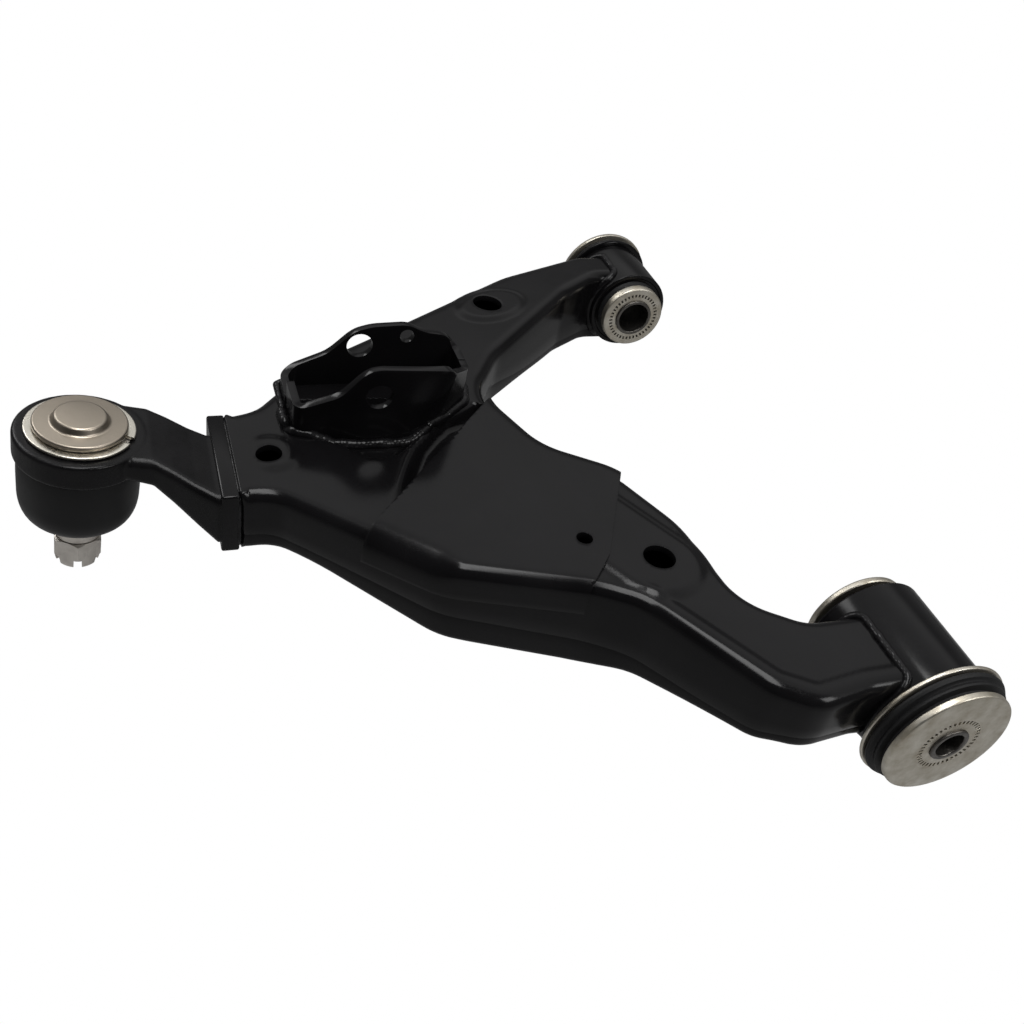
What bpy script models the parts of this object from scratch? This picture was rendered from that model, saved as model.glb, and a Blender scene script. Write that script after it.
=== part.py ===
"""Stamped steel suspension control arm: two pivot bushes, a shock bracket and a ball joint.

X runs along the pivot axis from the front bush to the rear bush, Y runs out to the ball joint
and Z is up. The origin is on the pivot axis at the middle of the front bush tube.
"""

from math import cos, pi, radians, sin, sqrt, tan

import bmesh
import bpy
from mathutils import Vector

MM = 0.001

# Fits
GAP = 0.3 * MM
TURN_STEPS = 32
INNER_STEPS = 20
ARC_STEP = radians(14)
WELD = 0.4 * MM

# Arm layout: SPAN is from bush to bush, REACH from the pivot axis to the arm's outer end
SPAN = 368 * MM
REACH = 300 * MM
ARM_TOP = 25 * MM
ARM_END_X = 0.4674 * SPAN
ARM_END_WIDTH = 68 * MM
SHEET = 3.5 * MM
BEND_RADIUS = 7 * MM
BEND_STEPS = 3
RIM_DROP = 2 * BEND_RADIUS
END_CORNER = 9 * MM
END_STRAIGHT = 16 * MM
LEG_END_Y = 7 * MM
FRONT_FLOOR_X = 0.326 * SPAN
REAR_FLOOR_X = 0.625 * SPAN

# Underside of the arm: y, height of the front side, height of the rear side, seam above it
FLOOR_STATIONS = (
    (REACH, -11 * MM, -11 * MM, 11 * MM),
    (0.883 * REACH, -10 * MM, -10 * MM, 9 * MM),
    (0.683 * REACH, -23.5 * MM, -18 * MM, 18 * MM),
    (0.46 * REACH, -30 * MM, -15 * MM, 18 * MM),
    (0.333 * REACH, -16 * MM, -20 * MM, 9 * MM),
    (0.233 * REACH, -8 * MM, -25 * MM, 9 * MM),
    (0.1 * REACH, -12 * MM, -28 * MM, 9 * MM),
    (0, -12 * MM, -28 * MM, 9 * MM),
)

# Holes in the upper shell: x, y, radius
OUTER_HOLE = (ARM_END_X - 3 * MM, REACH - 18 * MM, 6.6 * MM)
FRONT_LEG_HOLE = (0.186 * SPAN, 0.3593 * REACH, 8.3 * MM)
REAR_LEG_HOLE = (0.848 * SPAN, 0.4067 * REACH, 9.4 * MM)

# Cover plate
PLATE_SHEET = 3 * MM
PLATE_FLANGE_Z = 10 * MM
PLATE_OUTER_EDGE = ((0.3207 * SPAN, 0.7833 * REACH), (0.5353 * SPAN, 0.5467 * REACH))
PLATE_INNER_EDGE = ((0.3668 * SPAN, 0.3367 * REACH), (0.1087 * SPAN, 0.5267 * REACH))
PLATE_REAR_X = 0.6114 * SPAN
PLATE_HOLE = (0.231 * SPAN, 0.4733 * REACH, 4 * MM)

# Shock bracket
CLEVIS_X = 0.56114 * SPAN
CLEVIS_GAP = 45 * MM
CLEVIS_WALL = 4 * MM
CLEVIS_BEND = 10 * MM
CLEVIS_LENGTH = 100 * MM
CLEVIS_OUTER_Y = 0.8933 * REACH
CLEVIS_INNER_Y = CLEVIS_OUTER_Y - CLEVIS_LENGTH
CLEVIS_BOLT_Y = CLEVIS_INNER_Y + 57 * MM
CLEVIS_BOLT_Z = ARM_TOP + 24.5 * MM
CLEVIS_BOLT_RADIUS = 7.2 * MM
CLEVIS_HIGH = ARM_TOP + 41 * MM
CLEVIS_LOW = ARM_TOP + 18 * MM
LOCATING_HOLE_RADIUS = 4 * MM

# Ball joint
BALL_X = ARM_END_X + 9 * MM
BALL_REACH = 71.2 * MM
BALL_Y = REACH + BALL_REACH
BALL_Z = ARM_TOP - 13.5 * MM
BALL_TILT = radians(5.3)
BALL_RADIUS = 14.5 * MM
EYE_RADIUS = 30.2 * MM
EYE_TOP = 25.5 * MM
EYE_THICKNESS = 13.5 * MM
HOUSING_RADIUS = 23.2 * MM
HOUSING_NECK_RADIUS = 20.6 * MM
HOUSING_BORE = 18.3 * MM
HOUSING_FLANGE_RADIUS = 24.4 * MM
HOUSING_FLANGE_DEPTH = 6 * MM
HOUSING_FLOOR = -9 * MM
HOUSING_LIP_RADIUS = 14.5 * MM
LIP_THICKNESS = 1.7 * MM
RING_THICKNESS = 1.6 * MM
RING_OUTER_RADIUS = 25.2 * MM
RING_OPENING = 5 * MM
CAP_RADIUS = 21.6 * MM
CAP_THICKNESS = 2.7 * MM
CAP_PLUG_DEPTH = 6 * MM
BUTTON_RADIUS = 11.8 * MM
BUTTON_HEIGHT = 3.5 * MM
LINER_THICKNESS = 1.8 * MM
LINER_ANGLE = radians(60)
STUD_NECK_RADIUS = 7 * MM
TAPER_TOP = -20 * MM
TAPER_TOP_RADIUS = 12.4 * MM
TAPER_END = -38 * MM
TAPER_END_RADIUS = 10.8 * MM
THREAD_RADIUS = 7 * MM
BOOT_RADIUS = 28.3 * MM
BOOT_WALL = 2.2 * MM
BOOT_SHOULDER = -9 * MM
BOOT_FLOOR = -27 * MM
COLLAR_HEIGHT = 6 * MM
COLLAR_WALL = 1.3 * MM
NUT_ACROSS_FLATS = 22 * MM
NUT_HEIGHT = 16 * MM
NUT_SLOT_WIDTH = 4 * MM
NUT_SLOT_DEPTH = 5.5 * MM

# Ball joint bracket
END_PLATE_THICKNESS = 8.5 * MM
END_PLATE_TOP = ARM_TOP - 1.5 * MM
END_PLATE_FLOOR = -9 * MM
NECK_WIDTH = 47 * MM
NECK_OFFSET = 10 * MM
NECK_FLARE = 7 * MM
NECK_BOOT_CLEARANCE = 3 * MM

# Front bush, measured from the middle of its tube; outboard is towards -X
FRONT_TUBE_RADIUS = 31.9 * MM
FRONT_TUBE_LENGTH = 60 * MM
FRONT_SLEEVE_RADIUS = 10.1 * MM
FRONT_BOLT_RADIUS = 7.4 * MM
FRONT_FLANGE_RADIUS = 37.5 * MM
FRONT_OUTER_WASHER_RADIUS = 33 * MM
FRONT_INNER_WASHER_RADIUS = 27.3 * MM
FRONT_OUTER_WASHER = 3.5 * MM
FRONT_INNER_WASHER = 3.5 * MM
FRONT_LIP = 9 * MM
FRONT_TAIL = 5.5 * MM

# Rear bush, measured from the middle of its tube; outboard is towards +X
REAR_TUBE_RADIUS = 28 * MM
REAR_TUBE_LENGTH = 44 * MM
REAR_SLEEVE_RADIUS = 13.3 * MM
REAR_BOLT_RADIUS = 11 * MM
REAR_FLANGE_RADIUS = 31.2 * MM
REAR_OUTER_WASHER_RADIUS = 32.5 * MM
REAR_INNER_WASHER_RADIUS = 22.4 * MM
REAR_OUTER_WASHER = 3 * MM
REAR_INNER_WASHER = 6 * MM
REAR_LIP = 4 * MM
REAR_TAIL = 3.5 * MM

# Both bushes
TUBE_WALL = 2.9 * MM
OUTER_SLEEVE_WALL = 2 * MM
FLANGE_THICKNESS = 2.4 * MM
SLEEVE_PROUD = 1.5 * MM
WASHER_EDGE = 0.8 * MM

# Where the legs meet the tubes
FRONT_LEG_WIDTH = FRONT_TUBE_LENGTH - 13.5 * MM
FRONT_LEG_OFFSET = -3.75 * MM
REAR_LEG_WIDTH = REAR_TUBE_LENGTH - 8 * MM
REAR_LEG_OFFSET = -4 * MM

# Finishes: colour, roughness, metallic
PAINT = ((0.018, 0.018, 0.019, 1), 0.38, 0.2)
RUBBER = ((0.012, 0.012, 0.012, 1), 0.7, 0.0)
ZINC = ((0.60, 0.57, 0.51, 1), 0.38, 1.0)
NICKEL = ((0.52, 0.48, 0.42, 1), 0.35, 1.0)
STEEL = ((0.45, 0.43, 0.41, 1), 0.4, 1.0)
NYLON = ((0.75, 0.74, 0.70, 1), 0.5, 0.0)


def clear_scene():
    for old in list(bpy.data.objects):
        bpy.data.objects.remove(old, do_unlink=True)


def collection(name):
    made = bpy.data.collections.new(name)
    bpy.context.scene.collection.children.link(made)
    return made


def axis_empty(name, location, rotation):
    """A joint axis: its local Z is the axis that its children turn about."""
    empty = bpy.data.objects.new(name, None)
    empty.location = location
    empty.rotation_euler = rotation
    PARTS.objects.link(empty)
    return empty


def finish_material(name, finish):
    colour, roughness, metallic = finish
    made = bpy.data.materials.new(name)
    made.use_nodes = True
    shader = made.node_tree.nodes["Principled BSDF"]
    shader.inputs["Base Color"].default_value = colour
    shader.inputs["Roughness"].default_value = roughness
    shader.inputs["Metallic"].default_value = metallic
    return made


def part(name, mesh, finish, parent):
    """One sub-part with its own material, placed by its parent empty."""
    made = bpy.data.objects.new(name, mesh)
    mesh.materials.append(finish_material(name, finish))
    mesh.shade_smooth()
    mesh.set_sharp_from_angle(angle=radians(35))
    made.parent = parent
    PARTS.objects.link(made)
    return made


def mesh_from(bm, name):
    mesh = bpy.data.meshes.new(name)
    bm.to_mesh(mesh)
    bm.free()
    return mesh


def turned(name, profile, finish, parent, steps=TURN_STEPS):
    """Solid turned about the parent's Z from (radius, height) points, down the outer side."""
    mesh = bpy.data.meshes.new(name)
    count = len(profile)
    edges = [(i, i + 1) for i in range(count - 1)]
    on_axis = profile[0][0] == 0 and profile[-1][0] == 0
    if not on_axis:
        edges.append((count - 1, 0))
    mesh.from_pydata([(radius, 0, height) for radius, height in profile], edges, [])
    made = part(name, mesh, finish, parent)
    screw = made.modifiers.new("Turn", 'SCREW')
    screw.steps = steps
    screw.render_steps = steps
    screw.use_merge_vertices = True
    screw.merge_threshold = 0.00001
    return made


def ring(inner, outer, low, high, edge=0.0):
    """Profile of a plain ring, with its outer corners broken by edge."""
    if edge == 0.0:
        return [(outer, high), (outer, low), (inner, low), (inner, high)]
    return [(outer - edge, high), (outer, high - edge), (outer, low + edge), (outer - edge, low),
            (inner, low), (inner, high)]


def arc(centre, radius, start, end, steps):
    """Points (radius, height) on a circle round (0, centre), by angle from the top."""
    angles = [start + (end - start) * k / steps for k in range(steps + 1)]
    return [(radius * sin(a), centre + radius * cos(a)) for a in angles]


def cutter(name, bm, parent=None, location=(0, 0, 0), rotation=(0, 0, 0)):
    made = bpy.data.objects.new(name, mesh_from(bm, name))
    made.location = location
    made.rotation_euler = rotation
    made.parent = parent
    made.hide_render = True
    made.display_type = 'WIRE'
    CUTTERS.objects.link(made)
    return made


def round_cutter(name, radius, length, segments=32, **place):
    bm = bmesh.new()
    bmesh.ops.create_cone(bm, cap_ends=True, segments=segments, radius1=radius, radius2=radius, depth=length)
    return cutter(name, bm, **place)


def box_cutter(name, size, **place):
    bm = bmesh.new()
    bmesh.ops.create_cube(bm, size=1)
    bmesh.ops.scale(bm, vec=size, verts=bm.verts[:])
    return cutter(name, bm, **place)


def boolean(target, tool, operation='DIFFERENCE'):
    modifier = target.modifiers.new(tool.name, 'BOOLEAN')
    modifier.operation = operation
    modifier.object = tool


def rounded(corners, closed=True, arc_steps=None):
    """Outline through (x, y, radius) corners, with a tangent arc at each corner."""
    points = []
    last = len(corners) - 1
    for i, (x, y, radius) in enumerate(corners):
        here = Vector((x, y))
        if radius == 0 or (not closed and i in (0, last)):
            points.append(here)
            continue
        back = Vector(corners[i - 1][:2]) - here
        ahead = Vector(corners[(i + 1) % len(corners)][:2]) - here
        turn = pi - back.angle(ahead)
        reach = min(radius * tan(turn / 2), 0.45 * min(back.length, ahead.length))
        fitted = reach / tan(turn / 2)
        back.normalize()
        ahead.normalize()
        centre = here + (back + ahead).normalized() * (fitted / cos(turn / 2))
        spoke = here + back * reach - centre
        side = 1 if back.cross(ahead) < 0 else -1
        steps = arc_steps or max(1, round(turn / ARC_STEP))
        for k in range(steps + 1):
            angle = side * turn * k / steps
            swung = Vector((spoke.x * cos(angle) - spoke.y * sin(angle),
                            spoke.x * sin(angle) + spoke.y * cos(angle)))
            points.append(centre + swung)
    return points


def arm_outline():
    """Plan of the stamped shells, counter-clockwise from the outer end's front corner."""
    front = FRONT_LEG_OFFSET - FRONT_LEG_WIDTH / 2
    front_inside = FRONT_LEG_OFFSET + FRONT_LEG_WIDTH / 2
    rear = SPAN + REAR_LEG_OFFSET + REAR_LEG_WIDTH / 2
    rear_inside = SPAN + REAR_LEG_OFFSET - REAR_LEG_WIDTH / 2
    end_front = ARM_END_X - ARM_END_WIDTH / 2
    end_rear = ARM_END_X + ARM_END_WIDTH / 2
    bulge = END_CORNER / 2
    return rounded([
        (end_front, REACH, END_CORNER),
        (end_front, REACH - END_STRAIGHT, 24 * MM),
        (0.204 * SPAN, 0.713 * REACH, 40 * MM),
        (0.144 * SPAN, 0.48 * REACH, 60 * MM),
        (0.1114 * SPAN, 0.4233 * REACH, 50 * MM),
        (-0.049 * SPAN, 0.3 * REACH, 26 * MM),
        (front - bulge, 0.233 * REACH, 22 * MM),
        (front, 0.133 * REACH, 16 * MM),
        (front, LEG_END_Y, 0),
        (front_inside, LEG_END_Y, 0),
        (front_inside, 0.167 * REACH, 20 * MM),
        (front_inside + 4 * bulge, 0.253 * REACH, 34 * MM),
        (0.2554 * SPAN, 0.273 * REACH, 60 * MM),
        (0.375 * SPAN, 0.34 * REACH, 34 * MM),
        (0.4402 * SPAN, 0.46 * REACH, 40 * MM),
        (0.587 * SPAN, 0.527 * REACH, 44 * MM),
        (0.7011 * SPAN, 0.437 * REACH, 70 * MM),
        (rear_inside - 4 * bulge, 0.193 * REACH, 40 * MM),
        (rear_inside, 0.093 * REACH, 20 * MM),
        (rear_inside, LEG_END_Y, 0),
        (rear, LEG_END_Y, 0),
        (rear, 0.107 * REACH, 30 * MM),
        (rear - 0.0815 * SPAN, 0.333 * REACH, 90 * MM),
        (rear - 0.2255 * SPAN, 0.593 * REACH, 90 * MM),
        (0.6902 * SPAN, 0.82 * REACH, 60 * MM),
        (end_rear + bulge, REACH - END_STRAIGHT, 34 * MM),
        (end_rear, REACH, END_CORNER),
    ])


def floor_and_seam(x, y):
    """Heights of the arm's underside and of the seam between its shells."""
    share = min(1, max(0, (x - FRONT_FLOOR_X) / (REAR_FLOOR_X - FRONT_FLOOR_X)))
    for outer, inner in zip(FLOOR_STATIONS, FLOOR_STATIONS[1:]):
        if y >= inner[0]:
            break
    along = min(1, (y - inner[0]) / (outer[0] - inner[0]))
    front, rear, rise = [near + (far - near) * along for near, far in zip(inner[1:], outer[1:])]
    floor = front + (rear - front) * share
    return floor, floor + rise


def inset(outline, distance):
    """The outline moved inwards by a distance, with mitred corners."""
    moved = []
    for i, here in enumerate(outline):
        back = (here - outline[i - 1]).normalized()
        ahead = (outline[(i + 1) % len(outline)] - here).normalized()
        inwards = Vector((-back.y - ahead.y, back.x + ahead.x)).normalized()
        moved.append(here + inwards * (distance / inwards.dot(Vector((-ahead.y, ahead.x)))))
    return moved


def bend_loops(depth):
    """(inset, drop) of a pressing's loops from rim to cap, at a depth under its outer surface."""
    bend = BEND_RADIUS - depth
    angles = [pi / 2 * k / BEND_STEPS for k in range(BEND_STEPS + 1)]
    return [(depth, RIM_DROP)] + [(depth + bend * (1 - cos(a)), depth + bend * (1 - sin(a))) for a in angles]


def pressing(loops, capped_twice, cap_and_rim):
    """Stamped pan through (inset, drop) loops, placed by the heights of its cap and its rim."""
    bm = bmesh.new()
    outline = arm_outline()
    rows = []
    for distance, drop in loops:
        rows.append([bm.verts.new((p.x, p.y, drop)) for p in inset(outline, distance)])
    for near, far in zip(rows, rows[1:]):
        for i in range(len(outline)):
            bm.faces.new((near[i - 1], near[i], far[i], far[i - 1]))
    caps = [bm.faces.new(row) for row in ((rows[0], rows[-1]) if capped_twice else rows[-1:])]
    bmesh.ops.triangulate(bm, faces=caps)
    for station, *_ in FLOOR_STATIONS[1:-1]:
        everything = bm.verts[:] + bm.edges[:] + bm.faces[:]
        bmesh.ops.bisect_plane(bm, geom=everything, dist=WELD, plane_co=(0, station, 0), plane_no=(0, 1, 0))
    for vert in bm.verts:
        cap, rim = cap_and_rim(vert.co.x, vert.co.y)
        side = 1 if cap > rim else -1
        share = max(0, (vert.co.z - BEND_RADIUS) / (RIM_DROP - BEND_RADIUS))
        bent = cap - side * min(vert.co.z, BEND_RADIUS)
        vert.co.z = bent + (rim - bent) * share
    bmesh.ops.recalc_face_normals(bm, faces=bm.faces[:])
    return bm


def upper_heights(x, y):
    """Heights of the upper pressing's flat top and of its rim on the seam."""
    return ARM_TOP, floor_and_seam(x, y)[1] + GAP / 2


def lower_heights(x, y):
    """Heights of the lower pressing's floor and of its rim on the seam."""
    floor, seam = floor_and_seam(x, y)
    return floor, seam - GAP / 2


def shell(name, heights):
    """Closed pressing one sheet thick: inner surface up to the rim, then the outer surface."""
    loops = bend_loops(SHEET)[::-1] + bend_loops(0)
    return part(name, mesh_from(pressing(loops, True, heights), name), PAINT, ARM)


def thicken(target, thickness, offset):
    modifier = target.modifiers.new("Sheet", 'SOLIDIFY')
    modifier.thickness = thickness
    modifier.offset = offset
    modifier.use_even_offset = True


def bevel_edges(target, width, segments=2):
    modifier = target.modifiers.new("Edges", 'BEVEL')
    modifier.width = width
    modifier.segments = segments
    modifier.limit_method = 'ANGLE'


def make_shells():
    """Upper and lower pressings, cut to seat round both bush tubes."""
    upper = shell("upper_shell", upper_heights)
    lower = shell("lower_shell", lower_heights)
    front = round_cutter("front_tube_seat", FRONT_TUBE_RADIUS + GAP, 2 * FRONT_TUBE_LENGTH, parent=FRONT)
    rear = round_cutter("rear_tube_seat", REAR_TUBE_RADIUS + GAP, 3 * REAR_TUBE_LENGTH, parent=REAR)
    for pressed in (upper, lower):
        boolean(pressed, front)
        boolean(pressed, rear)
    holes = {"outer_hole": OUTER_HOLE, "front_leg_hole": FRONT_LEG_HOLE, "rear_leg_hole": REAR_LEG_HOLE}
    for name, (x, y, radius) in holes.items():
        boolean(upper, round_cutter(name, radius, 4 * SHEET, location=(x, y, ARM_TOP)))


def keep_side(bm, edge, side):
    """Cut the surface by an upright plane through edge and keep one side of it."""
    (x1, y1), (x2, y2) = edge
    across = Vector((y1 - y2, x2 - x1, 0)) * side
    everything = bm.verts[:] + bm.edges[:] + bm.faces[:]
    bmesh.ops.bisect_plane(bm, geom=everything, plane_co=(x1, y1, 0), plane_no=across, clear_outer=True)


def make_cover_plate():
    """Saddle plate that follows the upper shell's own surface, one gap above it."""
    bm = pressing(bend_loops(0), False, upper_heights)
    if max(bm.faces, key=lambda face: face.calc_area()).normal.z < 0:
        bmesh.ops.reverse_faces(bm, faces=bm.faces[:])
    keep_side(bm, ((PLATE_REAR_X, 0), (PLATE_REAR_X, REACH)), -1)
    keep_side(bm, PLATE_OUTER_EDGE, 1)
    keep_side(bm, PLATE_INNER_EDGE, 1)
    everything = bm.verts[:] + bm.edges[:] + bm.faces[:]
    bmesh.ops.bisect_plane(bm, geom=everything, plane_co=(0, 0, PLATE_FLANGE_Z), plane_no=(0, 0, -1),
                           clear_outer=True)
    plate = part("cover_plate", mesh_from(bm, "cover_plate"), PAINT, ARM)
    thicken(plate, PLATE_SHEET, 1 + 2 * GAP / PLATE_SHEET)
    x, y, radius = PLATE_HOLE
    boolean(plate, round_cutter("plate_hole", radius, 5 * PLATE_SHEET, location=(x, y, ARM_TOP)))


def profile_height(stations, y):
    for (y1, z1), (y2, z2) in zip(stations, stations[1:]):
        if y >= y2:
            return z2 + (z1 - z2) * min(1, (y - y2) / (y1 - y2))
    return stations[-1][1]


def bracket_half(name, foot_corners, head_corners, stations):
    """Bent sheet wall between a foot line on the shell and a head line, cut to a top profile."""
    foot = rounded(foot_corners, closed=False, arc_steps=4)
    head = rounded(head_corners, closed=False, arc_steps=4)
    base = ARM_TOP + GAP
    bm = bmesh.new()
    columns = []
    step = 6 * MM
    for i in range(len(foot) - 1):
        span = max((foot[i + 1] - foot[i]).length, (head[i + 1] - head[i]).length)
        pieces = max(1, round(span / step))
        for k in range(pieces):
            columns.append((foot[i].lerp(foot[i + 1], k / pieces), head[i].lerp(head[i + 1], k / pieces)))
    columns.append((foot[-1], head[-1]))
    rows = []
    for low, high in columns:
        top = profile_height(stations, high.y)
        share = (top - base) / (CLEVIS_HIGH - base)
        there = low.lerp(high, share)
        rows.append((bm.verts.new((low.x, low.y, base)), bm.verts.new((there.x, there.y, top))))
    for (low1, top1), (low2, top2) in zip(rows, rows[1:]):
        bm.faces.new((low1, low2, top2, top1))
    half = part(name, mesh_from(bm, name), PAINT, ARM)
    thicken(half, CLEVIS_WALL, -1)
    return half


def make_shock_bracket():
    """Two bent halves that make an open box for the shock absorber's lower eye."""
    front = CLEVIS_X - CLEVIS_GAP / 2 - CLEVIS_WALL
    rear = CLEVIS_X + CLEVIS_GAP / 2 + CLEVIS_WALL
    outer = CLEVIS_OUTER_Y
    inner = CLEVIS_INNER_Y
    seam = GAP / 2
    bend = CLEVIS_BEND
    high = CLEVIS_HIGH
    low = CLEVIS_LOW
    bolt = CLEVIS_BOLT_Y
    front_tops = [(outer, low), (bolt + 20 * MM, low + 7 * MM), (bolt + 8 * MM, high - 2 * MM),
                  (bolt + 2 * MM, high), (inner + 20 * MM, high - 2 * MM), (inner, high - 20 * MM)]
    rear_tops = [(outer, low - 9 * MM), (bolt + 17 * MM, low + 2 * MM), (bolt + 4 * MM, high - 8 * MM),
                 (bolt - 6 * MM, high - 5 * MM), (bolt - 26 * MM, high - 4 * MM), (bolt - 36 * MM, high - 9 * MM),
                 (inner + 8 * MM, high - 11 * MM), (inner, high - 20 * MM)]
    seam_x = CLEVIS_X + 10 * MM
    flat = (seam_x - 8 * MM, inner, bend)
    foot = [(CLEVIS_X - seam, outer, 0), (front, outer, bend), (front, inner + 38 * MM, 22 * MM),
            flat, (seam_x - seam, inner, 0)]
    head = [(CLEVIS_X - seam, outer, 0), (front, outer, bend), (front, inner + 18 * MM, 12 * MM),
            flat, (seam_x - seam, inner, 0)]
    front_half = bracket_half("shock_bracket_front", foot, head, front_tops)
    back = [(seam_x + seam, inner, 0), (rear, inner, bend), (rear, outer, bend),
            (CLEVIS_X + seam, outer, 0)]
    rear_half = bracket_half("shock_bracket_rear", back, back, rear_tops)
    along = (0, radians(90), 0)
    centre = (CLEVIS_X, bolt, CLEVIS_BOLT_Z)
    bolt_hole = round_cutter("shock_bolt_hole", CLEVIS_BOLT_RADIUS, 2 * CLEVIS_GAP, location=centre, rotation=along)
    boolean(front_half, bolt_hole)
    boolean(rear_half, bolt_hole)
    spot = (rear, bolt - 26 * MM, high - 11 * MM)
    boolean(rear_half, round_cutter("locating_hole", LOCATING_HOLE_RADIUS, CLEVIS_GAP, location=spot, rotation=along))


def make_end_plate():
    """Plate that closes the arm's outer end and carries the ball joint bracket."""
    bm = bmesh.new()
    bmesh.ops.create_cube(bm, size=1)
    width = ARM_END_WIDTH - 4 * MM
    bmesh.ops.scale(bm, vec=(width, END_PLATE_THICKNESS, END_PLATE_TOP - END_PLATE_FLOOR), verts=bm.verts[:])
    middle = (ARM_END_X, REACH + GAP + END_PLATE_THICKNESS / 2, (END_PLATE_TOP + END_PLATE_FLOOR) / 2)
    bmesh.ops.translate(bm, vec=middle, verts=bm.verts[:])
    plate = part("end_plate", mesh_from(bm, "end_plate"), PAINT, ARM)
    bevel_edges(plate, 1.5 * MM)


def make_ball_joint_bracket():
    """Forged bracket: an eye for the ball joint on a neck that drops to the arm's end."""
    start = REACH + END_PLATE_THICKNESS + 2 * GAP
    eye_middle = EYE_TOP - EYE_THICKNESS / 2
    eye_y = BALL_Y - eye_middle * sin(BALL_TILT)
    eye_z = BALL_Z + eye_middle * cos(BALL_TILT)
    near = BALL_Y - BOOT_RADIUS - NECK_BOOT_CLEARANCE
    lean = (near - eye_y) * tan(BALL_TILT)
    eye_top = eye_z + EYE_THICKNESS / 2 - GAP
    eye_floor = eye_z - EYE_THICKNESS / 2 + GAP
    half = NECK_WIDTH / 2
    end_left = ARM_END_X - NECK_OFFSET - NECK_WIDTH / 2
    end_right = ARM_END_X - NECK_OFFSET + NECK_WIDTH / 2 + NECK_FLARE
    knee_left = (end_left + BALL_X - half) / 2
    knee_right = (end_right + BALL_X + half) / 2
    knee_floor = (END_PLATE_FLOOR + eye_floor + lean) / 2
    knee_top = (END_PLATE_TOP + eye_top + lean) / 2
    sections = [
        (start, end_left, end_right, END_PLATE_FLOOR + 3 * MM, END_PLATE_TOP),
        ((start + near) / 2, knee_left, knee_right, knee_floor, knee_top),
        (near, BALL_X - half, BALL_X + half, eye_floor + lean, eye_top + lean),
        (eye_y, BALL_X - half, BALL_X + half, eye_floor, eye_top),
    ]
    bm = bmesh.new()
    loops = []
    for y, x1, x2, z1, z2 in sections:
        ends = [bm.verts.new(corner) for corner in ((x1, y, z1), (x2, y, z1), (x2, y, z2), (x1, y, z2))]
        loops.append([bm.edges.new((ends[i - 1], ends[i])) for i in range(4)])
    for near_loop, far_loop in zip(loops, loops[1:]):
        bmesh.ops.bridge_loops(bm, edges=near_loop + far_loop)
    bmesh.ops.holes_fill(bm, edges=bm.edges[:], sides=4)
    bmesh.ops.recalc_face_normals(bm, faces=bm.faces[:])
    bracket = part("ball_joint_bracket", mesh_from(bm, "ball_joint_bracket"), PAINT, ARM)
    bevel_edges(bracket, 2.5 * MM)
    place = dict(segments=TURN_STEPS, parent=BALL, location=(0, 0, eye_middle))
    boolean(bracket, round_cutter("eye_body", EYE_RADIUS, EYE_THICKNESS, **place), 'UNION')
    boolean(bracket, round_cutter("eye_bore", HOUSING_RADIUS + GAP, 4 * EYE_THICKNESS, **place))


def make_housing():
    """Ball joint housing, pushed up through the eye and held by the snap ring."""
    ring_seat = EYE_TOP + GAP + RING_THICKNESS + GAP
    eye_floor = EYE_TOP - EYE_THICKNESS - GAP
    lip_top = HOUSING_FLOOR + LIP_THICKNESS
    profile = [
        (HOUSING_NECK_RADIUS, ring_seat),
        (HOUSING_NECK_RADIUS, EYE_TOP - GAP),
        (HOUSING_RADIUS, EYE_TOP - GAP),
        (HOUSING_RADIUS, eye_floor),
        (HOUSING_FLANGE_RADIUS, eye_floor),
        (HOUSING_FLANGE_RADIUS, eye_floor - HOUSING_FLANGE_DEPTH),
        (HOUSING_RADIUS - 1 * MM, eye_floor - HOUSING_FLANGE_DEPTH - 1 * MM),
        (HOUSING_RADIUS - 1 * MM, HOUSING_FLOOR + 1 * MM),
        (HOUSING_RADIUS - 2 * MM, HOUSING_FLOOR),
        (HOUSING_LIP_RADIUS, HOUSING_FLOOR),
        (HOUSING_LIP_RADIUS, lip_top),
        (HOUSING_BORE, lip_top),
        (HOUSING_BORE, ring_seat),
    ]
    turned("ball_joint_housing", profile, STEEL, BALL, INNER_STEPS)
    cap_floor = ring_seat + GAP
    cap_top = cap_floor + CAP_THICKNESS
    plug = HOUSING_BORE - GAP
    plug_floor = cap_floor - CAP_PLUG_DEPTH
    rim = 0.6 * MM
    cap = [
        (0, cap_top + BUTTON_HEIGHT),
        (BUTTON_RADIUS - 2 * MM, cap_top + BUTTON_HEIGHT),
        (BUTTON_RADIUS - 0.8 * MM, cap_top + BUTTON_HEIGHT - 0.5 * MM),
        (BUTTON_RADIUS, cap_top + BUTTON_HEIGHT - 1.8 * MM),
        (BUTTON_RADIUS + 0.8 * MM, cap_top),
        (CAP_RADIUS - rim, cap_top),
        (CAP_RADIUS, cap_top - rim),
        (CAP_RADIUS, cap_floor),
        (plug, cap_floor),
        (plug, plug_floor),
        (0, plug_floor),
    ]
    turned("housing_cap", cap, NICKEL, BALL)
    low = EYE_TOP + GAP
    snap = turned("snap_ring", ring(HOUSING_NECK_RADIUS + GAP, RING_OUTER_RADIUS, low, low + RING_THICKNESS),
                  ZINC, BALL)
    opening = (RING_OUTER_RADIUS, RING_OPENING, 4 * RING_THICKNESS)
    spot = (-RING_OUTER_RADIUS * 0.42, -RING_OUTER_RADIUS * 0.91, low)
    boolean(snap, box_cutter("ring_opening", opening, parent=BALL, location=spot, rotation=(0, 0, radians(65))))
    return plug_floor, lip_top


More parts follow.
